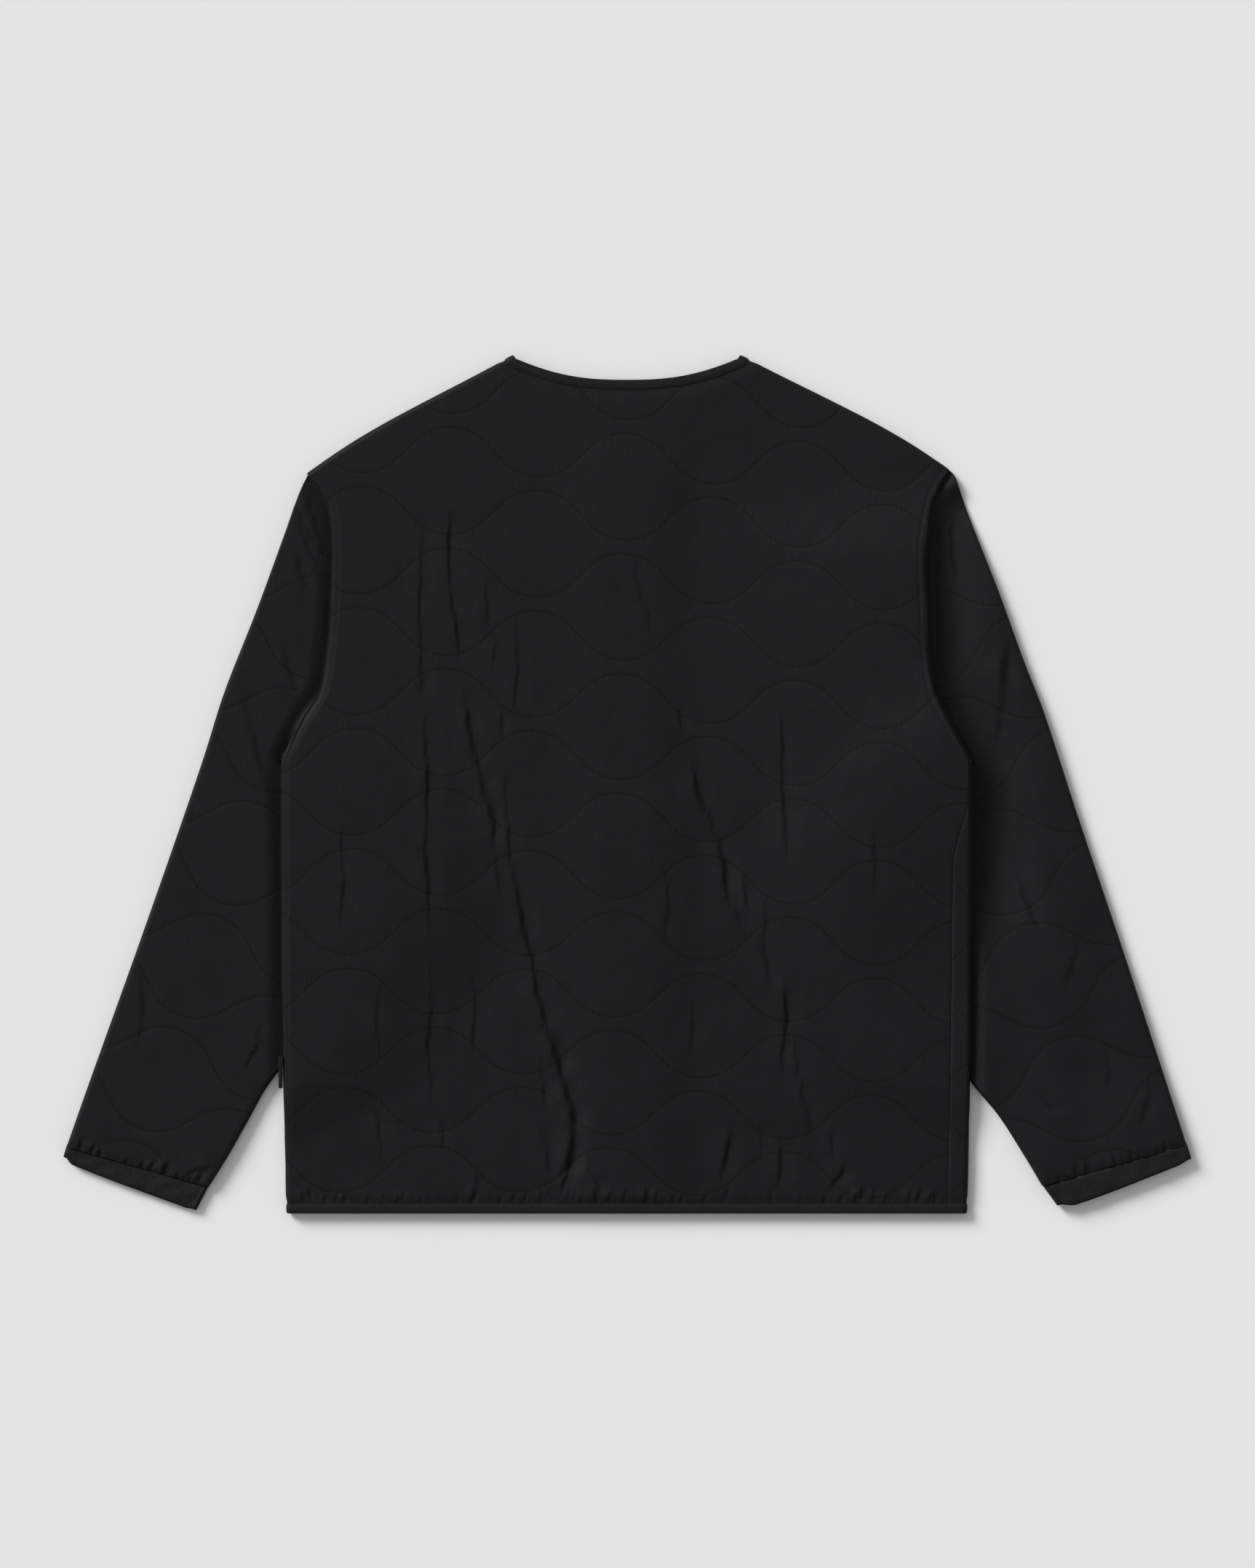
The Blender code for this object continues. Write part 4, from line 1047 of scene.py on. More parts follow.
TAPE_GAP = 0.15
TAPE_WALL = 0.55
TAPE_COVER = 6.8
TAPE_ROUND = 6          # points round the strip's folded edge


def tape_section():
    """The strip's section: how far out and how far up, round its outside and back inside."""
    slot = PRESSED / 2 + TAPE_GAP
    half = slot + TAPE_WALL
    nose = [
        (0.2 + 0.9 * math.cos(angle), half * math.sin(angle))
        for angle in np.linspace(math.pi / 2, -math.pi / 2, TAPE_ROUND + 1)
    ]
    upper = [
        (-TAPE_COVER, half - 0.25),
        (-TAPE_COVER + 0.8, half + 0.1),
        (-3.4, half + 0.28),
        (-1.2, half + 0.12),
    ]
    lower = [(x, -z) for x, z in reversed(upper)]
    return upper + nose + lower + [(-TAPE_COVER, -slot), (0.1, -slot), (0.1, slot), (-TAPE_COVER, slot)]


def lattice_frames(place, steps, inward, along_fold=False):
    """Middles, facings and ways in of a wall's edge, at lattice steps with steps inward."""
    i, j = (np.array(part) for part in zip(*steps))
    one, none = np.ones_like(i), np.zeros_like(i)
    outer, inner = place(i, j, one)[0], place(i, j, none)[0]
    deeper = (place(i + inward[0], j + inward[1], one)[0] + place(i + inward[0], j + inward[1], none)[0]) / 2
    middle = (outer + inner) / 2
    facing = outer - inner
    facing /= np.linalg.norm(facing, axis=1)[:, None]
    return [(m, f, d - m, along_fold) for m, f, d in zip(middle, facing, deeper)]


def binding(name, frames, seed):
    """A strip folded round an edge: its section carried along the edge's frames."""
    section = tape_section()
    draw = random.Random(seed)
    places = []
    uneven = 0.0
    for k, (middle, facing, inward, along_fold) in enumerate(frames):
        outs = [-inward / np.linalg.norm(inward)] if along_fold else []
        for a, b in ((k - 1, k), (k, k + 1)):
            if 0 <= a and b < len(frames) and not along_fold:
                run = frames[b][0] - frames[a][0]
                run /= max(np.linalg.norm(run), 1e-9)
                out = inward.dot(run) * run - inward
                outs.append(out / np.linalg.norm(out))
        out = sum(outs)
        out /= np.linalg.norm(out)
        normal = facing - facing.dot(out) * out
        normal /= np.linalg.norm(normal)
        out = out / max(min(out.dot(beside) for beside in outs), 0.7)
        uneven = mix(uneven, draw.uniform(-0.3, 0.3), 0.35)
        places.append([
            middle + out * (reach + (uneven if reach < -6 else 0)) + normal * rise
            for reach, rise in section
        ])
    places = np.array(places)
    rows, columns = len(places) - 1, len(section)
    lengths = np.concatenate([[0], np.cumsum(np.linalg.norm(np.diff(places[:, 0], axis=0), axis=1))])

    def place(i, j, side):
        return places[j, i % columns], np.stack([lengths[j], i * 1.0], axis=1)

    made = cloth_wall(name, columns, rows, None, place, closed=True, layer=1)
    builder = bmesh.new()
    builder.from_mesh(made.data)
    open_edges = [edge for edge in builder.edges if edge.is_boundary]
    bmesh.ops.holes_fill(builder, edges=open_edges, sides=0)
    bmesh.ops.recalc_face_normals(builder, faces=builder.faces)
    builder.to_mesh(made.data)
    builder.free()
    made.data.set_sharp_from_angle(angle=math.radians(60))
    return made


def front_frames(side, steps, inward, along_fold=False):
    def place(i, j, face):
        return front_place(side, i, j, face)

    return lattice_frames(place, steps, inward, along_fold)


def edge_binding_frames():
    """Up the right front, round the neck and down the left front."""
    def front_run(side):
        last = front_fold(side) + FRONT_ACROSS
        corner = front_fold(side) + FRONT_SIDE
        notch, top = SKIRT + NOTCH, SKIRT + ARM
        up = front_frames(side, [(last, j) for j in range(2, notch)], (-1, 0))
        turn = front_frames(side, [(last, notch)], (-1, -1))
        lower = front_frames(side, [(i, notch) for i in range(last - 1, corner, -1)], (0, -1))
        middle = front_frames(side, [(corner, notch)], (-1, -1))
        upper = front_frames(side, [(corner, j) for j in range(notch + 1, top)], (-1, 0))
        fold = front_frames(side, [(corner, j) for j in range(top, top + FOLD + 1)], (-1, 0), True)
        return up + turn + lower + middle + upper + fold

    left = FOLD + SHOULDER_COLUMNS
    right = FOLD + ACROSS - SHOULDER_COLUMNS
    top = SKIRT + ARM
    folds = range(top + FOLD, top - 1, -1)
    rise = lattice_frames(back_place, [(right, j) for j in folds], (1, 0), True)
    neck = lattice_frames(back_place, [(i, top) for i in range(right - 1, left, -1)], (0, -1))
    fall = lattice_frames(back_place, [(left, j) for j in reversed(folds)], (-1, 0), True)
    return front_run("right") + rise + neck + fall + front_run("left")[::-1]


def hem_binding_frames():
    """From the left lap, round the left fold, across the back to the right lap."""
    left_last = front_fold("left") + FRONT_ACROSS
    right_last = front_fold("right") + FRONT_ACROSS
    left = front_frames("left", [(i, 0) for i in range(left_last, 0, -1)], (0, 1))
    back = lattice_frames(back_place, [(i, 0) for i in range(FOLD + ACROSS + 1)], (0, 1))
    right = front_frames("right", [(i, 0) for i in range(1, right_last + 1)], (0, 1))
    return left + back + right


# ---------------------------------------------------------------- stitches

def thread_mesh():
    """One stitch: a small spindle of thread along X."""
    builder = bmesh.new()
    bmesh.ops.create_uvsphere(builder, u_segments=4, v_segments=2, radius=0.5)
    bmesh.ops.rotate(builder, verts=builder.verts, matrix=Matrix.Rotation(math.pi / 2, 3, "Y"))
    builder.verts.ensure_lookup_table()
    points = np.array([vertex.co[:] for vertex in builder.verts])
    faces = [[vertex.index for vertex in face.verts] for face in builder.faces]
    builder.free()
    return points, faces


def make_stitches(name, runs, height, inside, length=1.4, width=0.46, pitch=STITCH_PITCH, down=False):
    """A row of stitches along each run, on a face whose height(x, y) is known."""
    places, directions = [], []
    for run in runs:
        at, way = along(np.asarray(run, float), pitch)
        keep = inside(at[:, 0], at[:, 1])
        places.append(at[keep])
        directions.append(way[keep])
    at, way = np.vstack(places), np.vstack(directions)
    x, y = at.T
    z = height(x, y)
    slope = (height(x + way[:, 0], y + way[:, 1]) - height(x - way[:, 0], y - way[:, 1])) / 2
    ahead = np.stack([way[:, 0], way[:, 1], slope], axis=1)
    ahead /= np.linalg.norm(ahead, axis=1)[:, None]
    beside = np.stack([-way[:, 1], way[:, 0], np.zeros(len(x))], axis=1)
    up = np.cross(ahead, beside)
    thread, faces = thread_mesh()
    rise = -0.02 if down else 0.02
    middle = np.stack([x, y, z + rise], axis=1)
    points = (
        middle[:, None]
        + ahead[:, None] * (thread[None, :, 0:1] * length)
        + beside[:, None] * (thread[None, :, 1:2] * width)
        + up[:, None] * (thread[None, :, 2:3] * width * 0.8)
    )
    count = len(thread)
    all_faces = [[corner + count * k for corner in face] for k in range(len(middle)) for face in faces]
    mesh = bpy.data.meshes.new(name)
    mesh.from_pydata((points.reshape(-1, 3) * MM).tolist(), [], all_faces)
    builder = bmesh.new()
    builder.from_mesh(mesh)
    bmesh.ops.recalc_face_normals(builder, faces=builder.faces)
    builder.to_mesh(mesh)
    builder.free()
    made = bpy.data.objects.new(name, mesh)
    bpy.context.scene.collection.objects.link(made)
    return made


def inside_back(x, y):
    """Whether places are on the back's flat face, clear of its edges."""
    neck = distance_to(back_neck(np.linspace(0, 1, 60)), x, y)
    curve = back_neck(np.linspace(0, 1, 60))
    below = (np.abs(x) > NECK_X) | (y < np.interp(x, curve[:, 0], curve[:, 1]))
    good = (y > HEM_Y + 7) & (neck > 7) & below
    for side, sign in SIDES.items():
        seam = armhole(side, np.linspace(0, 1, 120))
        limit = np.interp(y, seam[:, 1], np.abs(seam[:, 0]))
        fold = side_fold(y) - 2 if side == "left" else right_seam(y) - 1.5
        limit = np.where(y < UNDERARM_Y, fold, limit - 6.5)
        good &= sign * x < limit
        ridge = shoulder(side, np.linspace(0, 1, 40))
        order = np.argsort(ridge[:, 0])
        top = np.interp(x, ridge[order, 0], ridge[order, 1])
        good &= np.where(sign * x > NECK_X - 9, y < np.minimum(top, NECK_Y - 4) - 3, True)
    return good


def inside_sleeve(side):
    """Whether places are on a sleeve's flat face, and not under the body."""
    sign = SIDES[side]
    outer = on_curve(SLEEVE_OUTER[side], np.linspace(0, 1, 160))
    inner = on_curve(SLEEVE_INNER[side], np.linspace(0, 1, 160))
    seam = armhole(side, np.linspace(0, 1, 120))

    def inside(x, y):
        far = np.interp(-y, -outer[:, 1], np.abs(outer[:, 0]))
        near_inner = np.interp(-y, -inner[90:, 1], np.abs(inner[90:, 0]))
        near = np.where(y < -243, near_inner + 2, side_fold(y) - 6)
        near = np.where(y > UNDERARM_Y, np.interp(y, seam[:, 1], np.abs(seam[:, 0])) + 1, near)
        end = distance_to(ENDS[side], x, y)
        run = np.array(SLEEVE_OUTER[side][-1]) - np.array(SLEEVE_INNER[side][-1])
        start = SLEEVE_INNER[side][-1]
        above = (run[0] * (y - start[1]) - run[1] * (x - start[0])) * sign > 0
        return (sign * x < far - 2) & (sign * x > near) & (end > 2) & above & (y < 258)

    return inside


# ---------------------------------------------------------------- materials

def group(name, inputs, outputs):
    """An empty node group with named sockets, given as name and type."""
    tree = bpy.data.node_groups.new(name, "ShaderNodeTree")
    for label, kind, default in inputs:
        socket = tree.interface.new_socket(label, in_out="INPUT", socket_type=kind)
        if default is not None:
            socket.default_value = default
    for label, kind in outputs:
        tree.interface.new_socket(label, in_out="OUTPUT", socket_type=kind)
    return tree, tree.nodes.new("NodeGroupInput"), tree.nodes.new("NodeGroupOutput")


class Nodes:
    """Short ways to add and join a tree's nodes."""

    def __init__(self, tree):
        self.tree = tree

    def set(self, socket, value):
        if isinstance(value, bpy.types.NodeSocket):
            self.tree.links.new(value, socket)
        else:
            socket.default_value = value

    def add(self, kind, values=None, **settings):
        node = self.tree.nodes.new(kind)
        for label, value in settings.items():
            setattr(node, label, value)
        for label, value in (values or {}).items():
            self.set(node.inputs[label], value)
        return node

    def math(self, operation, a, b=0.0, c=0.0):
        node = self.add("ShaderNodeMath", {0: a, 1: b, 2: c}, operation=operation)
        return node.outputs[0]

    def noise(self, vector, scale, detail=2.0, rough=0.5):
        inputs = {"Vector": vector, "Scale": scale, "Detail": detail, "Roughness": rough}
        node = self.add("ShaderNodeTexNoise", inputs)
        return node.outputs["Fac"]

    def stretch(self, vector, scale, rotation=(0, 0, 0)):
        node = self.add("ShaderNodeMapping", {"Vector": vector, "Scale": scale, "Rotation": rotation})
        return node.outputs["Vector"]

    def ramp(self, value, low, high, to_low=0.0, to_high=1.0):
        node = self.add("ShaderNodeMapRange", {
            "Value": value, "From Min": low, "From Max": high, "To Min": to_low, "To Max": to_high,
        })
        return node.outputs["Result"]

    def mix_colour(self, share, a, b):
        node = self.add("ShaderNodeMix", data_type="RGBA")
        self.set(node.inputs["Factor"], share)
        self.set(node.inputs[6], a)
        self.set(node.inputs[7], b)
        return node.outputs[2]


def weave_group():
    """Plain weave: a height and a tone from crossing threads and their unevenness."""
    tree, start, end = group(
        "plain weave", [("Vector", "NodeSocketVector", None), ("Thread", "NodeSocketFloat", 0.42)],
        [("Height", "NodeSocketFloat"), ("Tone", "NodeSocketFloat")],
    )
    n = Nodes(tree)
    split = n.add("ShaderNodeSeparateXYZ", {0: start.outputs["Vector"]})
    per_metre = n.math("DIVIDE", math.pi / MM, start.outputs["Thread"])
    warp = n.math("SINE", n.math("MULTIPLY", split.outputs[0], per_metre))
    weft = n.math("SINE", n.math("MULTIPLY", split.outputs[1], per_metre))
    crossing = n.math("MULTIPLY", warp, weft)
    slub = n.noise(n.stretch(start.outputs["Vector"], (1.0, 0.22, 1.0)), 1500.0, 3.0, 0.7)
    height = n.math("ADD", n.math("MULTIPLY", crossing, 0.25), n.math("MULTIPLY", slub, 0.9))
    n.set(end.inputs["Height"], height)
    n.set(end.inputs["Tone"], slub)
    return tree


def quilt_group():
    """The narrow groove along the quilting, the puckers that its stitches draw, and a band along the line
    that marks where painted shade darkens the groove.
    """
    tree, start, end = group(
        "quilting", [("Vector", "NodeSocketVector", None)],
        [("Groove", "NodeSocketFloat"), ("Pucker", "NodeSocketFloat"), ("Line", "NodeSocketFloat")],
    )
    n = Nodes(tree)
    split = n.add("ShaderNodeSeparateXYZ", {0: start.outputs["Vector"]})
    u = n.math("DIVIDE", split.outputs[0], MM)
    v = n.math("DIVIDE", split.outputs[1], MM)
    row = n.math("ROUND", n.math("DIVIDE", v, ROW_PITCH))
    shifted = n.math("ADD", u, WAVE / 4)
    folded = n.math("FLOORED_MODULO", shifted, WAVE / 2)
    q = n.math("ABSOLUTE", n.math("SUBTRACT", folded, WAVE / 4))
    half = n.math("FLOOR", n.math("DIVIDE", shifted, WAVE / 2))
    parity = n.math("FLOORED_MODULO", n.math("ADD", half, row), 2.0)
    up = n.math("SUBTRACT", 1.0, n.math("MULTIPLY", parity, 2.0))
    capped = n.math("MINIMUM", q, ARC_REACH)
    arc = n.math("SQRT", n.math("SUBTRACT", ARC_RADIUS**2, n.math("MULTIPLY", capped, capped)))
    straight = n.math("MAXIMUM", n.math("SUBTRACT", q, ARC_REACH), 0.0)
    drop = n.math("ADD", n.math("SUBTRACT", ARC_RADIUS, arc), straight)
    height = n.math("MULTIPLY", up, n.math("SUBTRACT", WAVE_RISE, drop))
    gap = n.math("SUBTRACT", n.math("SUBTRACT", v, n.math("MULTIPLY", row, ROW_PITCH)), height)
    distance = n.math("MULTIPLY", n.math("ABSOLUTE", gap), n.math("DIVIDE", arc, ARC_RADIUS))
    groove = n.math("POWER", n.ramp(distance, 0.0, 3.4, 1.0, 0.0), 2.0)
    band = n.ramp(distance, 0.0, 9.0, 1.0, 0.0)
    drawn = n.noise(n.stretch(start.outputs["Vector"], (1.0, 0.35, 1.0)), 330.0, 1.0)
    n.set(end.inputs["Groove"], groove)
    # A band along the quilting line: the place where painted shade darkens the cloth's colour, standing in
    # for the shade in the groove and its needle holes
    n.set(end.inputs["Line"], n.ramp(distance, 0.35, 1.1, 1.0, 0.0))
    n.set(end.inputs["Pucker"], n.math("MULTIPLY", band, drawn))
    return tree


def new_material(name):
    made = bpy.data.materials.new(name)
    made.use_nodes = True
    made.node_tree.nodes.clear()
    n = Nodes(made.node_tree)
    shader = n.add("ShaderNodeBsdfPrincipled")
    output = n.add("ShaderNodeOutputMaterial")
    made.node_tree.links.new(shader.outputs[0], output.inputs[0])
    return made, n, shader


NYLON = (0.0049, 0.0048, 0.0060, 1.0)
# Painted shade: the colour the cloth is darkened to along the quilting groove and its needle holes
NYLON_GROOVE_SHADE = (0.0012, 0.0012, 0.0015, 1.0)
NYLON_LIGHT = (0.0086, 0.0085, 0.0101, 1.0)


def nylon(name, panel, shared):
    """Quilted nylon: its rows of quilting lie where the panel's geometry has them."""
    made, n, shader = new_material(name)
    cloth = n.add("ShaderNodeUVMap", uv_map="cloth").outputs["UV"]
    turned = cloth
    pucker = 0.0
    weave = n.add("ShaderNodeGroup", node_tree=shared["weave"])
    n.set(weave.inputs["Thread"], 0.42)
    crumple = n.noise(n.stretch(cloth, (1.0, 0.3, 1.0)), 420.0, 4.0, 0.68)
    height = n.math("MULTIPLY", crumple, 0.9)
    if panel:
        spec = QUILTING[panel]
        node = n.add("ShaderNodeMapping", {"Vector": cloth}, vector_type="TEXTURE")
        node.inputs["Location"].default_value = (spec["x"] * MM, spec["y"] * MM, 0)
        node.inputs["Rotation"].default_value = (0, 0, math.radians(spec["turn"]))
        node.inputs["Scale"].default_value = (*spec["stretch"], 1)
        turned = node.outputs["Vector"]
        quilt = n.add("ShaderNodeGroup", node_tree=shared["quilt"])
        n.set(quilt.inputs["Vector"], turned)
        groove, pucker = quilt.outputs["Groove"], quilt.outputs["Pucker"]
        sunk = n.math("MULTIPLY", groove, -0.5)
        height = n.math("ADD", height, n.math("ADD", sunk, n.math("MULTIPLY", pucker, 1.0)))
    n.set(weave.inputs["Vector"], turned)
    height = n.math("ADD", height, n.math("MULTIPLY", weave.outputs["Height"], 0.10))
    mottle = n.noise(cloth, 34.0, 3.0, 0.6)
    tone = n.math("ADD", n.math("MULTIPLY", weave.outputs["Tone"], 0.7), n.math("MULTIPLY", mottle, 0.3))
    colour = n.mix_colour(n.ramp(tone, 0.3, 0.7), NYLON, NYLON_LIGHT)
    if panel:
        # Painted shade: the cloth is darkened along the quilting line, where the groove and its needle holes
        # fall in shade
        colour = n.mix_colour(n.math("MULTIPLY", quilt.outputs["Line"], 0.55), colour, NYLON_GROOVE_SHADE)
    n.set(shader.inputs["Base Color"], colour)
    n.set(shader.inputs["Roughness"], n.ramp(tone, 0.2, 0.8, 0.66, 0.56))
    shader.inputs["Specular IOR Level"].default_value = 0.13
    shader.inputs["Sheen Weight"].default_value = 0.015
    shader.inputs["Sheen Roughness"].default_value = 0.5
    bump = n.add("ShaderNodeBump", {"Height": height, "Strength": 0.75, "Distance": 0.35 * MM})
    n.set(shader.inputs["Normal"], bump.outputs["Normal"])
    return made


def tape(name, base, light, shared, ribs):
    """Woven tape with fine ribs across its run."""
    made, n, shader = new_material(name)
    place = n.add("ShaderNodeTexCoord").outputs["Object"]
    weave = n.add("ShaderNodeGroup", node_tree=shared["weave"])
    n.set(weave.inputs["Vector"], place)
    n.set(weave.inputs["Thread"], ribs)
    rumple = n.noise(n.stretch(place, (1.0, 0.6, 1.0)), 420.0, 3.0, 0.6)
    height = n.math("ADD", n.math("MULTIPLY", rumple, 0.8), n.math("MULTIPLY", weave.outputs["Height"], 0.2))
    tone = n.ramp(n.math("ADD", rumple, weave.outputs["Tone"]), 0.7, 1.3)
    n.set(shader.inputs["Base Color"], n.mix_colour(tone, base, light))
    n.set(shader.inputs["Roughness"], n.ramp(tone, 0.0, 1.0, 0.7, 0.58))
    shader.inputs["Specular IOR Level"].default_value = 0.13
    bump = n.add("ShaderNodeBump", {"Height": height, "Strength": 0.7, "Distance": 0.4 * MM})
    n.set(shader.inputs["Normal"], bump.outputs["Normal"])
    return made


THREAD_DARK = (0.0035, 0.0035, 0.0040, 1)
THREAD_LIGHT = (0.0130, 0.0130, 0.0145, 1)
ENAMEL = (0.012, 0.012, 0.013, 1)
ENAMEL_WORN = (0.06, 0.06, 0.062, 1)


def thread_finish():
    made, n, shader = new_material("polyester thread")
    place = n.add("ShaderNodeTexCoord").outputs["Object"]
    twist = n.noise(place, 2400.0, 1.0)
    n.set(shader.inputs["Base Color"], n.mix_colour(twist, THREAD_DARK, THREAD_LIGHT))
    n.set(shader.inputs["Roughness"], n.ramp(twist, 0.3, 0.7, 0.6, 0.45))
    shader.inputs["Specular IOR Level"].default_value = 0.12
    return made


def snap_finish():
    made, n, shader = new_material("black enamelled metal")
    place = n.add("ShaderNodeTexCoord").outputs["Object"]
    wear = n.noise(place, 900.0, 4.0, 0.65)
    worn = n.ramp(wear, 0.5, 0.75)
    n.set(shader.inputs["Base Color"], n.mix_colour(worn, ENAMEL, ENAMEL_WORN))
    n.set(shader.inputs["Roughness"], n.ramp(wear, 0.3, 0.7, 0.3, 0.45))
    shader.inputs["Metallic"].default_value = 0.6
    bump = n.add("ShaderNodeBump", {"Height": wear, "Strength": 0.3, "Distance": 0.05 * MM})
    n.set(shader.inputs["Normal"], bump.outputs["Normal"])
    return made


def floor_finish():
    made, n, shader = new_material("pale floor")
    place = n.add("ShaderNodeTexCoord").outputs["Object"]
    grain = n.noise(place, 60.0, 3.0)
    n.set(shader.inputs["Base Color"], n.mix_colour(grain, (0.80, 0.80, 0.80, 1), (0.81, 0.81, 0.81, 1)))
    shader.inputs["Roughness"].default_value = 0.95
    shader.inputs["Specular IOR Level"].default_value = 0.0
    return made


# ---------------------------------------------------------------- snaps and tab

def make_snap(node, kind):
    """A fine snap part in its plain solid's place: a rolled cap, a socket or a rivet ring."""
    low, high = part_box(node)
    radius, thick = (high.x - low.x) / 2, high.z - low.z
    middle = (low + high) / 2
    if kind == "cap":
        profile = (
            (0, 0.25), (0.55, 0.3), (0.62, 0.12), (0.85, 0.0), (0.97, 0.15),
            (1.0, 0.5), (0.95, 0.9), (0.6, 1.0), (0, 1.0),
        )
    else:
        profile = (
            (0, 0.35), (0.35, 0.35), (0.42, 0.0), (0.85, 0.0), (1.0, 0.3),
            (1.0, 0.7), (0.85, 1.0), (0.45, 1.0), (0.38, 0.65), (0, 0.65),
        )
    builder = bmesh.new()
    ring = [builder.verts.new((r * radius, 0, z * thick + low.z)) for r, z in profile]
    edges = [builder.edges.new(pair) for pair in zip(ring, ring[1:])]
    bmesh.ops.spin(
        builder, geom=ring + edges, cent=(0, 0, 0), axis=(0, 0, 1), angle=2 * math.pi,
        steps=32, use_merge=True,
    )
    bmesh.ops.remove_doubles(builder, verts=builder.verts, dist=1e-6)
    bmesh.ops.translate(builder, verts=builder.verts, vec=(middle.x, middle.y, 0))
    bmesh.ops.recalc_face_normals(builder, faces=builder.faces)
    mesh = bpy.data.meshes.new(f"{node}_fine")
    builder.to_mesh(mesh)
    builder.free()
    mesh.shade_smooth()
    mesh.set_sharp_from_angle(angle=math.radians(50))
    made = bpy.data.objects.new(f"{node}_fine", mesh)
    bpy.context.scene.collection.objects.link(made)
    return made


def make_tab():
    """The folded side tab: two layers of tape with a round fold, drawn from its solid's box."""
    low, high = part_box("side_tab")
    builder = bmesh.new()
    bmesh.ops.create_cube(builder, size=1)
    size = high - low
    bmesh.ops.subdivide_edges(builder, edges=builder.edges[:], cuts=5, use_grid_fill=True)
    for vertex in builder.verts:
        share = vertex.co.x + 0.5
        vertex.co.z *= mix(0.55, 1.0, math.sqrt(min(share / 0.35, 1.0)))
        slit = abs(vertex.co.z) < 0.12 and share > 0.4
        vertex.co.y *= 0.98 + 0.02 * math.cos(vertex.co.x * 6)
        if slit and abs(vertex.co.y) > 0.48:
            vertex.co.y *= 0.96
    bmesh.ops.scale(builder, verts=builder.verts, vec=size)
    bmesh.ops.translate(builder, verts=builder.verts, vec=(low + high) / 2)
    mesh = bpy.data.meshes.new("side_tab_fine")
    builder.to_mesh(mesh)
    builder.free()
    mesh.shade_smooth()
    mesh.set_sharp_from_angle(angle=math.radians(50))
    made = bpy.data.objects.new("side_tab_fine", mesh)
    bpy.context.scene.collection.objects.link(made)
    return made


# ---------------------------------------------------------------- stage

FRAME_HEIGHT = 1.2936
CAMERA_DISTANCE = 4.5
FLOOR_SIZE = 9.0


LIGHTS = {              # the strength, the width in degrees and the way to each light
    "key": (3.35, 24, (-1.0, 0.92, 0.76)),
    "fill": (0.56, 110, (-0.8, 0.7, 1.5)),
}
ROOM_LIGHT = 0.295


def make_stage():
    """A pale floor, a soft key light and a broad fill from the upper left, and an even room light."""
    builder = bmesh.new()
    bmesh.ops.create_grid(builder, x_segments=1, y_segments=1, size=FLOOR_SIZE / 2)
    mesh = bpy.data.meshes.new("floor")
    builder.to_mesh(mesh)
    builder.free()
    mesh.materials.append(floor_finish())
    floor = bpy.data.objects.new("floor", mesh)
    floor.location.z = -0.0002
    bpy.context.scene.collection.objects.link(floor)

    for name, (energy, angle, towards) in LIGHTS.items():
        sun = bpy.data.lights.new(name, "SUN")
        sun.energy = energy
        sun.angle = math.radians(angle)
        lamp = bpy.data.objects.new(name, sun)
        lamp.rotation_euler = Vector(towards).to_track_quat("Z", "Y").to_euler()
        bpy.context.scene.collection.objects.link(lamp)

    world = bpy.data.worlds.new("room")
    world.use_nodes = True
    background = world.node_tree.nodes["Background"]
    background.inputs["Color"].default_value = (1.0, 1.0, 1.0, 1)
    background.inputs["Strength"].default_value = ROOM_LIGHT
    bpy.context.scene.world = world

    camera = bpy.data.cameras.new("camera")
    camera.sensor_width = 36
    camera.lens = 36 * CAMERA_DISTANCE / FRAME_HEIGHT
    seen = bpy.data.objects.new("camera", camera)
    seen.location = (0.0006, 0.0, CAMERA_DISTANCE)
    bpy.context.scene.collection.objects.link(seen)
    bpy.context.scene.camera = seen
    bpy.context.scene.view_settings.view_transform = "Standard"


# ---------------------------------------------------------------- the jacket

def dress(piece, finish, node=None):
    """Gives a piece its finish and its place on the jacket's one body."""
    piece.data.materials.clear()
    piece.data.materials.append(finish)
    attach(piece, "root")
    if node:
        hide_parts(node)
    return piece


TAPES = {               # the base colour, the lighter ribs' colour and how strongly the ribs show
    "binding": ((0.0062, 0.0062, 0.0072, 1), (0.0105, 0.0105, 0.0118, 1), 0.5),
    "cuff": ((0.0062, 0.0062, 0.0074, 1), (0.0115, 0.0115, 0.0130, 1), 0.45),
    "tab": ((0.0045, 0.0045, 0.0052, 1), (0.0080, 0.0080, 0.0088, 1), 0.6),
}


def outline_area(points):
    """Square metres inside an outline in millimetres."""
    x, y = np.asarray(points, float).T
    return abs(np.sum(x * np.roll(y, -1) - np.roll(x, -1) * y)) / 2 * MM**2


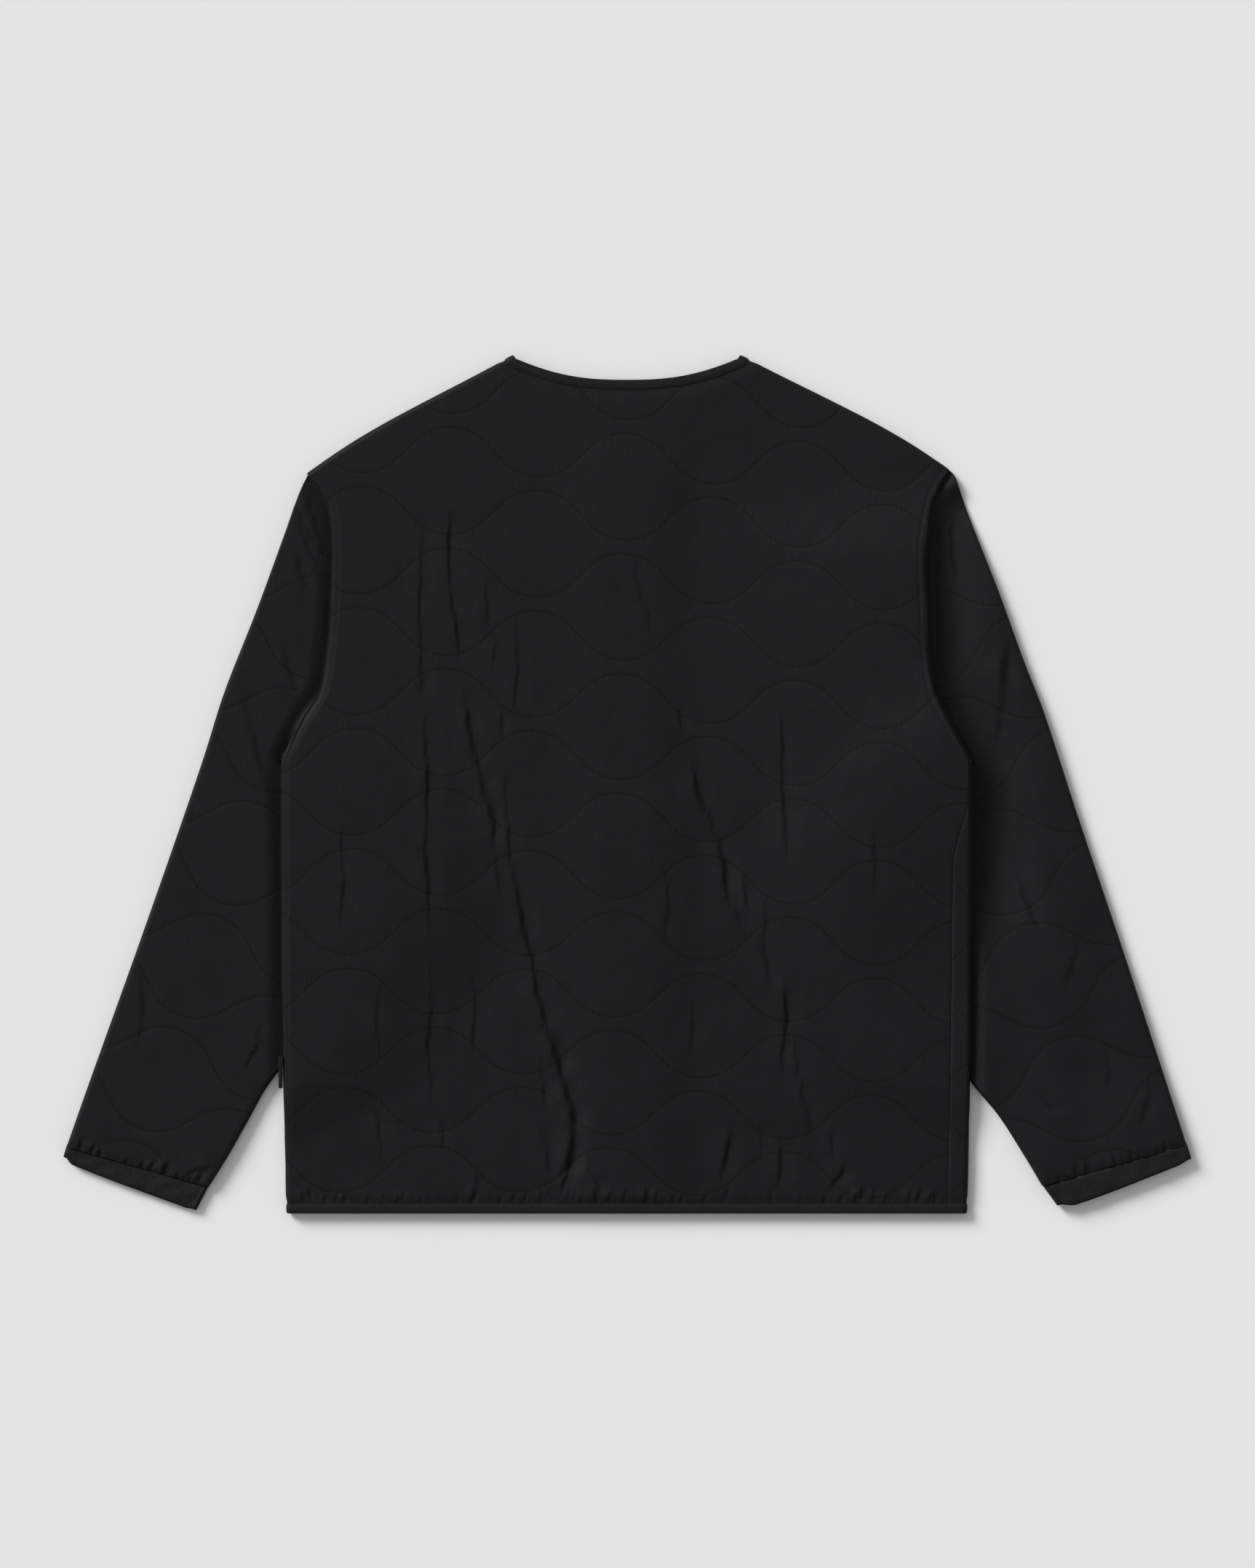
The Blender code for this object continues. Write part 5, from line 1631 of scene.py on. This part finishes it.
def cuts():
    """Each sheet's cut, worked out from the outlines it is sewn to: width, length and area."""
    share = np.linspace(0, 1, 80)
    long = (NECK_Y - HEM_Y) * MM
    found = {}
    halves = {}
    for side, sign in SIDES.items():
        skirt = np.stack([sign * side_fold(skirt_y), skirt_y], axis=1)
        slope = shoulder(side, share)
        edge = np.concatenate([skirt, armhole(side, share), slope])
        middle = np.array(((0.0, NECK_Y - BACK_NECK_DROP), (0.0, HEM_Y)))
        halves[side] = outline_area(np.concatenate([edge, middle]))
        neck = front_neck(side, share)
        lap = np.array(((-sign * LAP, HEM_Y),))
        front = outline_area(np.concatenate([edge, neck, lap]))
        turned = (WRAP if side == "right" else 0.0) * (UNDERARM_Y - HEM_Y) * MM**2
        wide = (FOLD_X + LAP + (WRAP if side == "right" else 0.0)) * MM
        found[f"front_{side}"] = (wide, long, front + turned, "laid", ["floor"])
        tube = np.concatenate([
            armhole(side, share),
            on_curve(SLEEVE_OUTER[side], share),
            on_curve(SLEEVE_INNER[side], share[::-1]),
        ])
        mouth = np.linalg.norm(np.diff(armhole(side, share), axis=0), axis=1).sum()
        found[f"sleeve_{side}"] = (
            2 * mouth * MM, SLEEVE_LONG * MM, 2 * outline_area(tube), "folded", ["floor"]
        )
    wide = (2 * FOLD_X - WRAP) * MM
    area = sum(halves.values()) - WRAP * (UNDERARM_Y - HEM_Y) * MM**2
    found["back"] = (wide, long, area, "laid", ["front_left_cloth", "front_right_cloth"])
    return found


def make_jacket():
    shared = {"weave": weave_group(), "quilt": quilt_group()}
    thread = thread_finish()
    panels = {}
    panels["back"], lining = make_back()
    lining_finish = nylon("lining nylon", None, shared)
    dress(lining, lining_finish, "back")
    for side in SIDES:
        panels[f"front_{side}"] = make_front(side)
        panels[f"sleeve_{side}"], lining = make_sleeve(side)
        dress(lining, lining_finish, f"sleeve_{side}")
    for node, piece in panels.items():
        dress(piece, nylon(f"{node} nylon", node, shared), node)

    finishes = {kind: tape(f"{kind} tape", *TAPES[kind][:2], shared, TAPES[kind][2]) for kind in TAPES}
    for side in SIDES:
        dress(make_cuff(side), finishes["cuff"], f"cuff_{side}")
    edging = binding("edge_binding_tape", edge_binding_frames(), 5)
    dress(edging, finishes["binding"], "edge_binding")
    hemming = binding("hem_binding_tape", hem_binding_frames(), 6)
    dress(hemming, finishes["binding"], "hem_binding")
    dress(make_tab(), finishes["tab"], "side_tab")

    metal = snap_finish()
    for node in sorted(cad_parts):
        if node.startswith("snap_"):
            kind = "cap" if "cap" in node else "ring"
            dress(make_snap(node, kind), metal, node)

    runs = quilt_runs("back", (-300, HEM_Y), (300, NECK_Y))
    dress(make_stitches("back_stitches", runs, back_top, inside_back), thread)
    for side in SIDES:
        def top(x, y, side=side):
            return sleeve_top(side, x, y)

        low, high = (200, -350), (470, 262)
        if side == "left":
            low, high = (-470, -350), (-200, 262)
        runs = quilt_runs(f"sleeve_{side}", low, high)
        stitches = make_stitches(f"sleeve_{side}_stitches", runs, top, inside_sleeve(side))
        dress(stitches, thread)
        seam = armhole(side, np.linspace(0.04, 0.97, 260))
        line = moved_in(seam, 5.8 * SIDES[side])
        topstitch = make_stitches(
            f"armhole_{side}_stitches", [line], back_top, lambda x, y: y > 26,
            length=2.2, width=0.5, pitch=2.7,
        )
        dress(topstitch, thread)
        inner = moved_in(on_curve(SLEEVE_INNER[side], np.linspace(0.6, 0.985, 200)), 3.2 * SIDES[side])
        underarm = make_stitches(
            f"underarm_{side}_stitches", [inner], top, lambda x, y: y < -244, length=1.8, width=0.45
        )
        dress(underarm, thread)

    def on_tape(x, y):
        return back_top(x, y) + 0.75

    share = np.linspace(0.03, 0.97, 400)
    lines = {
        "hem": [np.stack([mix(-279, 262, share), np.full(400, HEM_Y + 5.4)], axis=1)],
        "neck": [moved_in(back_neck(share), -5.6)],
    }
    for name, line in lines.items():
        tape_stitch = make_stitches(
            f"{name}_tape_stitches", line, on_tape, lambda x, y: x == x, length=1.9, width=0.45
        )
        dress(tape_stitch, thread)

    for name, (width, length, area, held, rests_on) in cuts().items():
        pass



make_jacket()
make_stage()
